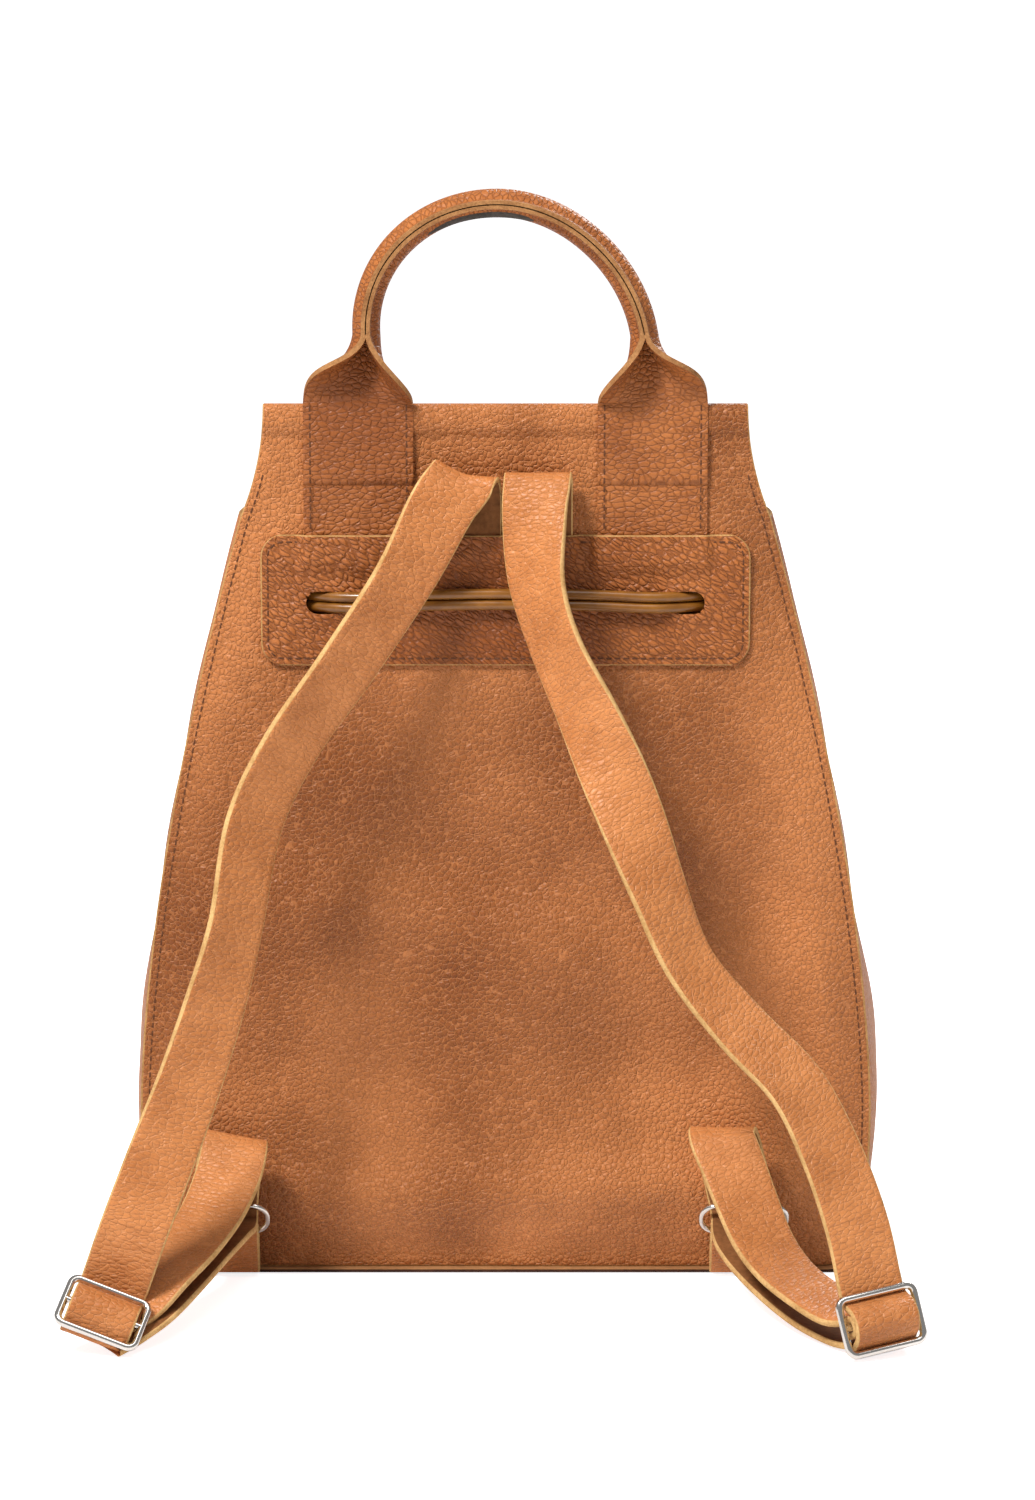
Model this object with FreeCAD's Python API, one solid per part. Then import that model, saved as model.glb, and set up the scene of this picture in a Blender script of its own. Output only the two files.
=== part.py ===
"""Leather flap backpack, standing upright.

Frame: +Z up from the ground, -Y towards the wearer's back, +Y towards the flap, +X to the right
when the wearer's side is looked at. The origin is on the ground, under the middle of the base.
While the pieces are made, y is measured from the back panel's outer face; all of them are moved
back by half the base's depth as they are written. Millimetres.
"""
import FreeCAD, Part
import math
import os
from FreeCAD import Vector

# ---------------------------------------------------------------- driving dimensions
# bag body
rim_height = 374.0          # ground to the fold along the top edge
mouth_height = rim_height - 48.0      # ground to the top of the side seams
belly_height = 70.0         # ground to the widest place
base_half_width = 151.0
belly_half_width = 155.5
mouth_half_width = 110.5
rim_half_width = 100.5
base_depth = 128.0
mouth_depth = 52.0
corner_radius = 16.0
base_round = 2.5
seam_inset = 5.0            # how far the back and front panels turn round the corners
base_seam_height = 8.0
leather = 1.8
lining = 1.2
rim_fold = 13.0             # height of the stitched fold along the top edge

# flap
flap_shoulder = mouth_depth + 8.0     # how far forward the flap reaches before it turns down
flap_drop = 36.0            # how far the turn lies below the rim
flap_tip_height = rim_height - 179.0
flap_tip_gap = 13.2         # from the front panel to the middle of the flap at its tip
flap_turn_radius = 25.0
flap_tip_half_width = 104.0
flap_tip_radius = 55.0

# closure
snap_height = flap_tip_height + 12.0
snap_radius = 9.0
snap_half = 5.0

# patch and its holes
patch_half_width = 102.0
patch_top = rim_height - 54.5
patch_bottom = patch_top - 55.0
patch_corner = 9.0
cord_hole_x = 76.0
cord_hole_height = patch_bottom + 26.5
cord_hole_radius = 5.8
cord_hole_length = 18.0

# handle
handle_x = 61.0
handle_width = 46.0
handle_pinch_x = 57.3
handle_pinch_height = rim_height + 28.5
handle_top_height = handle_pinch_height + 52.8    # centre line of the grip at its top
grip_radial = 13.4
grip_depth = 19.0
grip_y = -3.0
grip_sway = -3.5            # how far the top of the grip leans to one side
core_radius = 4.2

# shoulder straps, sliders, rings
strap_width = 28.0
strap_leather = 2.8
bar_radius = 1.6
bar_pitch = 11.4            # between the slider's bars
slider_corner = 3.0
slider_half_width = strap_width / 2 + 2.6     # middle of one end bar to the slider's middle
ring_wire = 1.25
ring_half_width = strap_width / 2 + 4.0
ring_pitch = 15.0           # between the ring's two long sides
ring_corner = 5.5
ring_low_y = -9.5
ring_low_z = 22.0
ring_lean = 30.0            # degrees the ring leans away from the panel
ring_x = {"left": -119.0, "right": 101.0}

# drawstring
cord_radius = 2.2
front_hole_x = 30.0
knot_radius = 4.3
tail_bend = 9.0             # largest bend radius in the tails

clearance = 0.3             # between pieces that move past one another
cord_gap = 0.3

flap_thickness = leather + lining
fin_depth = 2 * leather + lining
fin_bottom = rim_height - rim_fold
handle_thickness = 2 * leather
handle_hinge_z = rim_height + handle_thickness / 2 + 0.4
flap_hinge_y = fin_depth + clearance + flap_thickness / 2
flap_hinge_z = fin_bottom

nodes = {}


# ---------------------------------------------------------------- shared geometry
def half_width(z):
    """Half the bag's width at height z: widest at the belly, then a long taper to the rim."""
    if z <= belly_height:
        rise = math.sin(math.pi / 2 * max(z, 0.0) / belly_height)
        return base_half_width + (belly_half_width - base_half_width) * rise
    if z <= mouth_height:
        run = (z - belly_height) / (mouth_height - belly_height)
        return belly_half_width - (belly_half_width - mouth_half_width) * run ** 1.62
    run = max(rim_height - z, 0.0) / (rim_height - mouth_height)
    return rim_half_width + (mouth_half_width - rim_half_width) * run ** 2


def depth(z):
    """The bag's depth at height z: deep at the base, closing towards the mouth."""
    run = max(z, 0.0) / mouth_height
    return base_depth - (base_depth - mouth_depth) * run ** 1.5


def box(x, y, z):
    """A box between the two ends given for each axis."""
    solid = Part.makeBox(x[1] - x[0], y[1] - y[0], z[1] - z[0])
    solid.translate(Vector(x[0], y[0], z[0]))
    return solid


def rounded_section(z, inset):
    """The bag's outline at height z, drawn in by inset."""
    w = half_width(z) - inset
    low, high = inset, depth(z) - inset
    r = corner_radius - min(inset, corner_radius / 2)
    k = r * (1 - math.sqrt(0.5))
    p = [Vector(-w + r, low, z), Vector(w - r, low, z), Vector(w, low + r, z), Vector(w, high - r, z),
         Vector(w - r, high, z), Vector(-w + r, high, z), Vector(-w, high - r, z), Vector(-w, low + r, z)]
    m = [Vector(w - k, low + k, z), Vector(w - k, high - k, z), Vector(-w + k, high - k, z),
         Vector(-w + k, low + k, z)]
    edges = []
    for i in range(4):
        edges.append(Part.makeLine(p[2 * i], p[2 * i + 1]))
        edges.append(Part.Arc(p[2 * i + 1], m[i], p[(2 * i + 2) % 8]).toShape())
    return Part.Wire(edges)


def bag_form(inset):
    """The bag's outer form, or the hollow inside it when inset is the leather's thickness."""
    sections = []
    if inset:
        sections.append(rounded_section(inset, inset + base_round / 4))
    else:
        for angle in (0, 30, 60):
            drop = base_round * (1 - math.sin(math.radians(angle)))
            sections.append(rounded_section(base_round - base_round * math.cos(math.radians(angle)), drop))
    for share in (0.04, 0.12, 0.215, 0.33, 0.45, 0.57, 0.69, 0.81, 0.91):
        sections.append(rounded_section(mouth_height * share, inset))
    sections.append(rounded_section(mouth_height + (1.0 if inset else 0.0), inset))
    return Part.makeLoft(sections, True, True)


def outline_prism(heights, shrink, y):
    """The neck's outline between two heights, as a plate between the two values of y."""
    right = [Vector(half_width(z) - shrink, y[0], z) for z in heights]
    left = [Vector(-v.x, v.y, v.z) for v in reversed(right)]
    face = Part.Face(Part.makePolygon(right + left + [right[0]]))
    return face.extrude(Vector(0, y[1] - y[0], 0))


def spread(low, high, count):
    """count evenly spaced values from low to high."""
    return [low + (high - low) * i / (count - 1) for i in range(count)]


def slot_hole(x, z, y):
    """A cutter for a cord hole that is longer than it is high."""
    half = cord_hole_length / 2 - cord_hole_radius
    cutter = box((x - half, x + half), y, (z - cord_hole_radius, z + cord_hole_radius))
    for end in (x - half, x + half):
        cutter = cutter.fuse(Part.makeCylinder(cord_hole_radius, y[1] - y[0], Vector(end, y[0], z),
                                               Vector(0, 1, 0)))
    return cutter


def strip(points, radius, low, high):
    """A band in the YZ plane along a path of straight runs and one radius, between two offsets."""
    def at(p, q, offset, place):
        along = q.sub(p).normalize()
        side = Vector(0, -along.z, along.y)
        return place.add(side.multiply(offset))

    def one_side(offset):
        ends = [at(points[0], points[1], offset, points[0])]
        for before, corner, after in zip(points, points[1:], points[2:]):
            a, b = before.sub(corner).normalize(), after.sub(corner).normalize()
            half = a.getAngle(b) / 2
            run = radius / math.tan(half)
            centre = corner.add(a.add(b).normalize().multiply(radius / math.sin(half)))
            start, end = corner.add(Vector(a).multiply(run)), corner.add(Vector(b).multiply(run))
            start, end = at(before, corner, offset, start), at(corner, after, offset, end)
            middle = start.add(end).multiply(0.5).sub(centre).normalize()
            ends += [start, centre.add(middle.multiply(start.sub(centre).Length)), end]
        ends.append(at(points[-2], points[-1], offset, points[-1]))
        return ends

    edges = []
    sides = [one_side(low), list(reversed(one_side(high)))]
    for side in sides:
        for i in range(0, len(side) - 1, 3):
            edges.append(Part.makeLine(side[i], side[i + 1]))
            if i + 3 < len(side):
                edges.append(Part.Arc(side[i + 1], side[i + 2], side[i + 3]).toShape())
    edges.append(Part.makeLine(sides[0][-1], sides[1][0]))
    edges.append(Part.makeLine(sides[1][-1], sides[0][0]))
    return Part.Face(Part.Wire(Part.__sortEdges__(edges)))


def rounded_path(points, limit):
    """Straight runs joined by tangent arcs, each as large as its two runs and the limit allow."""
    edges, radii = [], []
    start = points[0]
    for before, corner, after in zip(points, points[1:], points[2:]):
        a, b = before.sub(corner), after.sub(corner)
        half = a.getAngle(b) / 2
        radius = min(0.45 * min(a.Length, b.Length) * math.tan(half), limit)
        run = radius / math.tan(half)
        a.normalize()
        b.normalize()
        first, last = corner.add(Vector(a).multiply(run)), corner.add(Vector(b).multiply(run))
        towards = a.add(b).normalize()
        middle = corner.add(towards.multiply(radius / math.sin(half) - radius))
        edges += [Part.makeLine(start, first), Part.Arc(first, middle, last).toShape()]
        radii.append(round(radius, 1))
        start = last
    edges.append(Part.makeLine(start, points[-1]))
    return Part.Wire(edges), radii


def tube(name, points, radius, limit=1000.0):
    """A round cord along a rounded path; prints its arcs' radii and how its volume compares."""
    wire, radii = rounded_path([Vector(*p) for p in points], limit)
    direction = Vector(*points[1]).sub(Vector(*points[0]))
    profile = Part.Wire(Part.makeCircle(radius, Vector(*points[0]), direction))
    solid = wire.makePipeShell([profile], True, False)
    share = solid.Volume / (math.pi * radius ** 2 * wire.Length)
    print(name, "length", round(wire.Length, 1), "volume share", round(share, 3), "radii", radii)
    return solid


def smooth(stations, steps):
    """Points between hand-chosen stations, on a curve that passes through all of them."""
    padded = [stations[0]] + list(stations) + [stations[-1]]
    rows = []
    for i in range(1, len(padded) - 2):
        a, b, c, d = padded[i - 1:i + 3]
        for step in range(steps):
            t = step / steps
            rows.append(tuple(0.5 * (2 * q + (r - p) * t + (2 * p - 5 * q + 4 * r - s) * t ** 2
                                     + (3 * q - p - 3 * r + s) * t ** 3)
                              for p, q, r, s in zip(a, b, c, d)))
    rows.append(tuple(stations[-1]))
    return rows


def ribbon(rows, width, thickness):
    """A strap through stations (x, y, z, wx, wy, wz): its centre and its width's direction."""
    sections = []
    centres = [Vector(*row[:3]) for row in rows]
    for i, row in enumerate(rows):
        tangent = centres[min(i + 1, len(rows) - 1)].sub(centres[max(i - 1, 0)]).normalize()
        across = Vector(*row[3:])
        across = across.sub(Vector(tangent).multiply(across.dot(tangent))).normalize()
        normal = tangent.cross(across).multiply(thickness / 2)
        across.multiply(width / 2)
        sections.append([centres[i].add(across).add(normal), centres[i].add(across).sub(normal),
                         centres[i].sub(across).sub(normal), centres[i].sub(across).add(normal)])
    first, last = list(reversed(sections[0])), sections[-1]
    faces = [Part.Face(Part.makePolygon(end + [end[0]])) for end in (first, last)]
    for one, two in zip(sections, sections[1:]):
        for k in range(4):
            faces.append(Part.Face(Part.makePolygon([one[k - 1], one[k], two[k], one[k - 1]])))
            faces.append(Part.Face(Part.makePolygon([one[k - 1], two[k], two[k - 1], one[k - 1]])))
    solid = Part.makeSolid(Part.makeShell(faces))
    length = sum(p.distanceToPoint(q) for p, q in zip(centres, centres[1:]))
    print("strap length", round(length, 1), "volume share", round(solid.Volume / (length * width * thickness), 3))
    return solid


def bent_wire(corners, radius, wire):
    """A closed loop of round wire through four corners of a rectangle with rounded corners."""
    edges = []
    count = len(corners)
    starts, ends = [], []
    for i, corner in enumerate(corners):
        a = corners[i - 1].sub(corner).normalize()
        b = corners[(i + 1) % count].sub(corner).normalize()
        first, last = corner.add(Vector(a).multiply(radius)), corner.add(Vector(b).multiply(radius))
        middle = corner.add(a.add(b).multiply(radius * (1 - math.sqrt(0.5))))
        edges.append(Part.Arc(first, middle, last).toShape())
        starts.append(first)
        ends.append(last)
    for i in range(count):
        edges.append(Part.makeLine(ends[i], starts[(i + 1) % count]))
    path = Part.Wire(Part.__sortEdges__(edges))
    along = starts[1].sub(ends[0])
    middle = ends[0].add(Vector(along).multiply(0.5))
    path = Part.Wire(Part.__sortEdges__([Part.makeLine(middle, starts[1])] + [
        e for e in edges if not (e.isSame(edges[count]))] + [Part.makeLine(ends[0], middle)]))
    profile = Part.Wire(Part.makeCircle(wire, middle, along))
    return path.makePipeShell([profile], True, False)


# ---------------------------------------------------------------- bag body
def make_body():
    """Back, front, two gussets and base, cut from one thin-walled form along the seams."""
    shell = bag_form(0.0).cut(bag_form(leather))
    wide = 2 * belly_half_width
    base = box((-wide, wide), (-20, 2 * base_depth), (-5, base_seam_height))
    back = box((-wide, wide), (-20, seam_inset), (-5, mouth_height + 5))
    front_sections = []
    for z in [-5.0] + [mouth_height * s for s in (0.04, 0.12, 0.215, 0.33, 0.45, 0.57, 0.69, 0.81, 0.91)] \
            + [mouth_height, mouth_height + 5]:
        y0, y1 = depth(z) - seam_inset, depth(z) + 20
        corners = [Vector(-wide, y0, z), Vector(wide, y0, z), Vector(wide, y1, z), Vector(-wide, y1, z)]
        front_sections.append(Part.makePolygon(corners + [corners[0]]))
    front = Part.makeLoft(front_sections, True, True)

    nodes["base_panel"] = shell.common(base)
    walls = shell.cut(base)
    nodes["front_panel"] = walls.common(front)
    sides = walls.cut(back).cut(front)
    for solid in sides.Solids:
        nodes["left_gusset" if solid.CenterOfMass.x < 0 else "right_gusset"] = solid

    neck = outline_prism(spread(mouth_height, fin_bottom, 6), 0.0, (0.0, leather))
    fin = outline_prism(spread(fin_bottom, rim_height, 3), 0.0, (0.0, fin_depth))
    panel = walls.common(back).fuse(neck).fuse(fin).removeSplitter()
    top = [e for e in panel.Edges if e.Length > rim_half_width
           and all(abs(v.Z - rim_height) < 0.01 for v in e.Vertexes)]
    nodes["back_panel"] = panel.makeFillet(fin_depth / 2 - 0.1, top)
    nodes["neck_lining"] = outline_prism(spread(mouth_height, fin_bottom, 6), seam_inset / 2,
                                         (leather, leather + lining))


def make_cord_holes():
    """The patch, and the cord's holes through it, the back panel and the front panel."""
    w, r = patch_half_width, patch_corner
    plate = box((-w, w), (-leather, 0), (patch_bottom, patch_top))
    corners = [e for e in plate.Edges if abs(e.Length - leather) < 0.001]
    nodes["back_patch"] = plate.makeFillet(r, corners)
    for x in (-cord_hole_x, cord_hole_x):
        cutter = slot_hole(x, cord_hole_height, (-20, 20))
        nodes["back_patch"] = nodes["back_patch"].cut(cutter)
        nodes["back_panel"] = nodes["back_panel"].cut(cutter)
    y = depth(cord_hole_height)
    for x in (-front_hole_x, front_hole_x):
        nodes["front_panel"] = nodes["front_panel"].cut(slot_hole(x, cord_hole_height, (y - 20, y + 20)))


# ---------------------------------------------------------------- flap and its closure
def make_flap():
    """The flap in two layers, with the fold it turns on rounded about the hinge line."""
    root = Vector(0, flap_hinge_y, flap_hinge_z)
    turn = Vector(0, flap_shoulder, rim_height - flap_drop)
    tip = Vector(0, depth(flap_tip_height) + flap_tip_gap, flap_tip_height)
    half = flap_thickness / 2
    along = turn.sub(root).normalize()
    lining_root = root.add(along.multiply(half + clearance))
    wide = 2 * flap_tip_half_width
    r = flap_tip_radius
    k = r * (1 - math.sqrt(0.5))
    w0, w1, low = rim_half_width - 0.5, flap_tip_half_width, flap_tip_height

    def outline(shrink):
        a, b, z = w0 - shrink, w1 - shrink, low + shrink
        p = [Vector(a, -20, rim_height), Vector(b, -20, z + r), Vector(b - k, -20, z + k), Vector(b - r, -20, z)]
        q = [Vector(-v.x, v.y, v.z) for v in p]
        edges = [Part.makeLine(p[0], p[1]), Part.Arc(p[1], p[2], p[3]).toShape(), Part.makeLine(p[3], q[3]),
                 Part.Arc(q[3], q[2], q[1]).toShape(), Part.makeLine(q[1], q[0]), Part.makeLine(q[0], p[0])]
        return Part.Face(Part.Wire(edges)).extrude(Vector(0, 2 * base_depth, 0))

    def layer(start, low_offset, high_offset, shrink):
        face = strip([start, turn, tip], flap_turn_radius, low_offset, high_offset)
        band = face.extrude(Vector(2 * wide, 0, 0))
        band.translate(Vector(-wide, 0, 0))
        return band.common(outline(shrink))

    outer = layer(root, -half + lining, half, 0.0)
    inner = layer(lining_root, -half, -half + lining, 1.0)
    fold = Part.makeCylinder(half, 2 * w0, Vector(-w0, root.y, root.z), Vector(1, 0, 0))
    fold = fold.common(outline(0.0))
    nodes["flap"] = outer.fuse(fold.cut(inner)).removeSplitter()
    nodes["flap_lining"] = inner

    seat = Vector(0, depth(snap_height), snap_height)
    rise = (depth(snap_height - 1) - depth(snap_height + 1)) / 2
    out = Vector(0, 1, rise).normalize()
    socket = Part.makeCylinder(snap_radius, snap_half + leather, seat.sub(Vector(out).multiply(leather)), out)
    nodes["snap_socket"] = socket.cut(nodes["front_panel"])
    nodes["snap_socket"] = max(nodes["snap_socket"].Solids, key=lambda s: s.CenterOfMass.y)
    start = seat.add(Vector(out).multiply(snap_half + 2 * clearance))
    stud = Part.makeCylinder(snap_radius, snap_half * 3, start, out)
    stud = stud.cut(inner).cut(outer)
    nodes["snap_stud"] = min(stud.Solids, key=lambda s: s.CenterOfMass.y)


# ---------------------------------------------------------------- handle
def oval(centre, across, up, half_across, half_up, power):
    """A closed smooth outline, from oval to nearly rectangular as power falls."""
    points = []
    for i in range(24):
        a = 2 * math.pi * i / 24
        c, s = math.cos(a), math.sin(a)
        u = math.copysign(abs(c) ** power, c) * half_across
        v = math.copysign(abs(s) ** power, s) * half_up
        points.append(centre.add(Vector(across).multiply(u)).add(Vector(up).multiply(v)))
    return Part.makePolygon(points + [points[0]])


def grip_point(a):
    """The grip's centre line, half an ellipse that leans a little; a runs from 0 to pi."""
    rise = (handle_top_height - handle_pinch_height) * math.sin(a)
    return Vector(handle_pinch_x * math.cos(a) + grip_sway * math.sin(a), grip_y, handle_pinch_height + rise)


def make_handle():
    """Two flat tabs on the neck, and the grip that they fold and close into over a round core."""
    y_axis = Vector(0, 1, 0)
    hinge_y = -handle_thickness / 2
    rows = []
    for side in (-1, 1):
        leg = []
        for share, x, width, thick, power in ((0.0, handle_x, handle_width, handle_thickness, 0.35),
                                              (0.35, handle_x, handle_width - 3, handle_thickness + 1.5, 0.45),
                                              (0.7, handle_x - 1.5, 28.0, 9.0, 0.7),
                                              (0.9, handle_pinch_x + 0.5, 19.0, 15.0, 0.9)):
            z = handle_hinge_z + (handle_pinch_height - handle_hinge_z) * share
            y = hinge_y + (grip_y - hinge_y) * share
            leg.append(oval(Vector(side * x, y, z), Vector(-side, 0, 0), y_axis, width / 2, thick / 2, power))
        rows.append(leg)
    arch = []
    for i in range(17):
        a = math.pi * (1 - i / 16)
        centre = grip_point(a)
        inward = Vector(-math.cos(a), 0, -math.sin(a))
        arch.append(oval(centre, inward, y_axis, grip_radial / 2, grip_depth / 2, 1.0))
    sections = rows[0] + arch + list(reversed(rows[1]))
    grip = Part.makeLoft(sections, True, True)
    for side in (-1, 1):
        x = side * handle_x - handle_width / 2
        grip = grip.fuse(Part.makeCylinder(handle_thickness / 2, handle_width, Vector(x, hinge_y, handle_hinge_z),
                                           Vector(1, 0, 0)))
        tab_top = handle_hinge_z - handle_thickness / 2 - clearance
        name = "left_handle_tab" if side < 0 else "right_handle_tab"
        nodes[name] = box((x, x + handle_width), (-handle_thickness, 0), (patch_top, tab_top))

    points = []
    for i in range(13):
        a = math.radians(165 - 150 * i / 12)
        points.append(grip_point(a))
    curve = Part.BSplineCurve()
    curve.interpolate(points)
    start = curve.value(curve.FirstParameter)
    profile = Part.Wire(Part.makeCircle(core_radius, start, curve.tangent(curve.FirstParameter)[0]))
    core = Part.Wire(curve.toShape()).makePipeShell([profile], True, False)
    nodes["handle"] = grip.cut(core)
    nodes["handle_core"] = core


# ---------------------------------------------------------------- rings and their tabs
def make_ring(side):
    """A flat oblong ring and the folded leather tab that holds it at the foot of the back panel."""
    x = ring_x[side]
    lean = math.radians(ring_lean)
    up = Vector(0, -math.sin(lean), math.cos(lean))
    low = Vector(x, ring_low_y, ring_low_z)
    w = ring_half_width
    corners = [low.add(Vector(-w, 0, 0)), low.add(Vector(w, 0, 0)),
               low.add(Vector(w, 0, 0)).add(Vector(up).multiply(ring_pitch)),
               low.add(Vector(-w, 0, 0)).add(Vector(up).multiply(ring_pitch))]
    nodes[side + "_ring"] = bent_wire(corners, ring_corner, ring_wire)

    # The tab's path: up the panel, round the ring's low side, and down to the seam again.
    wrap = ring_wire + clearance + leather / 2
    foot = base_seam_height / 2
    centre = Vector(0, ring_low_y, ring_low_z)
    edges_in, edges_out = [], []
    a0, a1 = math.radians(10), math.radians(190)
    for offset, edges in ((-leather / 2, edges_in), (leather / 2, edges_out)):
        r = wrap + offset
        p0 = centre.add(Vector(0, r * math.cos(a0), r * math.sin(a0)))
        pm = centre.add(Vector(0, 0, r))
        p1 = centre.add(Vector(0, r * math.cos(a1), r * math.sin(a1)))
        edges += [p0, pm, p1]
    inner_back = Vector(0, -leather, foot)
    outer_back = Vector(0, 0, foot)
    inner_front = Vector(0, -leather - 0.4, foot)
    outer_front = Vector(0, -2 * leather - 0.4, foot)
    edges = [Part.makeLine(outer_back, Vector(0, 0, foot + 4)), Part.makeLine(Vector(0, 0, foot + 4), edges_out[0]),
             Part.Arc(*edges_out).toShape(), Part.makeLine(edges_out[2], outer_front),
             Part.makeLine(outer_front, inner_front), Part.makeLine(inner_front, edges_in[2]),
             Part.Arc(edges_in[2], edges_in[1], edges_in[0]).toShape(),
             Part.makeLine(edges_in[0], inner_back), Part.makeLine(inner_back, outer_back)]
    face = Part.Face(Part.Wire(edges))
    tab = face.extrude(Vector(strap_width, 0, 0))
    tab.translate(Vector(x - strap_width / 2, 0, 0))
    nodes[side + "_ring_tab"] = tab


# ---------------------------------------------------------------- sliders and shoulder straps
# Each slider: its centre, the direction of its bars, and the direction from its low bar to its top bar.
slider_place = {
    "left": (Vector(-163, -109, 16.5), Vector(0.93, -0.05, -0.36), Vector(0.23, 0.78, 0.58)),
    "right": (Vector(152, -116, 15.5), Vector(0.93, 0.35, 0.12), Vector(-0.23, 0.28, 0.93)),
}

# A strap's places are x, y, z of its centre, the turn of its face and the dip of its right edge in degrees.
# The places above the slider are laid out for a patch whose top is at laid_out_top and for straps
# of laid_out_width.
laid_out_top = 319.5
laid_out_width = 28.0

# The upper fold runs from the patch's edge over the top.
upper_fold = {
    "left": [(-15.5, -1.7, 320, 0, 0), (-15.5, -2.0, 333, 0, 2), (-15.8, -4.5, 341, 0, 8),
             (-16.8, -8.5, 344.5, 0, 15), (-20, -12.5, 341.5, 2, 22)],
    "right": [(14, -1.7, 320, 0, 0), (14, -2.0, 334, 0, 0), (14, -4.5, 342, 0, 0), (13.5, -8.5, 345, 0, 0),
              (13, -13, 342, -6, 0)],
}

# The hanging run goes on from the fold to the slider.
hanging_run = {
    "left": [(-27, -17, 332, 8, 28), (-42, -26, 304, 30, 25), (-65, -36, 270, 34, 20),
             (-88, -45, 238, 37, 16), (-103, -55, 207, 38, 10), (-110, -66, 168, 42, 6),
             (-118, -75, 138, 32, 10), (-129, -85, 105, 22, 14), (-141, -94, 74, 6, 18),
             (-151, -100, 48, 0, 20)],
    "right": [(12, -18, 329, -20, 0), (13, -26, 303, -38, 0), (21, -34, 277, -42, -8), (35, -43, 248, -26, -16),
              (50, -53, 214, 12, -16), (62, -62, 183, 38, -12), (75, -70, 153, 50, -14),
              (96, -79, 128, 50, -24), (118, -87, 106, 44, -22), (132, -95, 80, 32, -14),
              (142, -103, 53, 24, -10)],
}

# The low run goes from the slider to the ring.
low_run = {
    "left": [(-165.8, -110.6, 6.7, -9, 18), (-157.5, -102, 7.5, -24, 8), (-147, -89, 10.5, -30, 0),
             (-137, -72, 17.5, -26, 0), (-128, -54, 24.5, -18, 0), (-121.5, -37, 28.0, -8, 0),
             (-119, -25, 27.5, 0, 0)],
    "right": [(151, -108, 3.6, 24, 0), (142, -97, 3.0, 30, 0), (130, -81, 5.0, 32, 0), (119, -64, 9.5, 28, 0),
              (109, -46, 15.5, 20, 0), (103, -32, 21.0, 8, 0), (101, -23, 24.5, 0, 0)],
}

# The ring loop goes through the ring, up behind it and over.
ring_loop = {
    "left": [(-119, -13.5, 28.7, 0, 0), (-119, -9.0, 36.0, 0, 0), (-118, -8.5, 46.0, 0, 4),
             (-116, -11.0, 57.0, 0, 8), (-115, -16.5, 64.5, 0, 11), (-114, -24.0, 64.0, -4, 12)],
    "right": [(101, -13.5, 28.7, 0, 0), (100, -9.0, 36.0, 0, 0), (97, -8.5, 49.0, 0, 0), (94, -11.5, 61.0, 0, 0),
              (92, -17.5, 68.0, 0, 0), (91, -24.5, 67.0, 2, 0)],
}

# The upper of the two low runs comes down from that fold to the slider.
upper_run = {
    "left": [(-116, -35, 54.0, -12, 10), (-122, -51, 42.0, -22, 6), (-131, -68, 32.0, -28, 3),
             (-141, -83, 25.0, -30, 6), (-153, -92.5, 16.2, -22, 14)],
    "right": [(95, -33, 58.0, 8, 0), (100.5, -45, 45.0, 16, 0), (107, -60, 32.0, 24, 0),
              (116, -75, 23.0, 28, 0), (128, -91, 17.5, 28, -2), (139, -103, 15.0, 24, -6)],
}


def turned(row):
    """A station's turn and dip in degrees as the direction of the strap's width."""
    a, dip = math.radians(row[3]), math.radians(row[4])
    return (row[0], row[1], row[2], math.cos(a) * math.cos(dip), math.sin(a) * math.cos(dip), -math.sin(dip))


def lifted(row, side):
    """A station moved with the patch's top and apart for wider straps, less and less towards the ground."""
    share = row[2] / laid_out_top
    apart = (strap_width - laid_out_width) / 2 * (-1 if side == "left" else 1)
    return (row[0] + apart * share ** 2, row[1], row[2] + (patch_top - laid_out_top) * share ** 2) + row[3:]


def slider_frame(side):
    """The slider's centre and its three unit directions: along its bars, up, and outwards."""
    centre, bars, up = slider_place[side]
    across = Vector(bars).normalize()
    rise = up.sub(Vector(across).multiply(up.dot(across))).normalize()
    return centre, across, rise, across.cross(rise)


def make_slider(side):
    """A flat frame of three round bars."""
    centre, across, rise, out = slider_frame(side)
    w = slider_half_width

    def at(u, s):
        return centre.add(Vector(across).multiply(u)).add(Vector(rise).multiply(s))

    corners = [at(-w, -bar_pitch), at(w, -bar_pitch), at(w, bar_pitch), at(-w, bar_pitch)]
    frame = bent_wire(corners, slider_corner, bar_radius)
    middle = Part.makeCylinder(bar_radius, 2 * w, at(-w, 0), across)
    nodes[side + "_slider"] = frame.fuse(middle)


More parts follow.
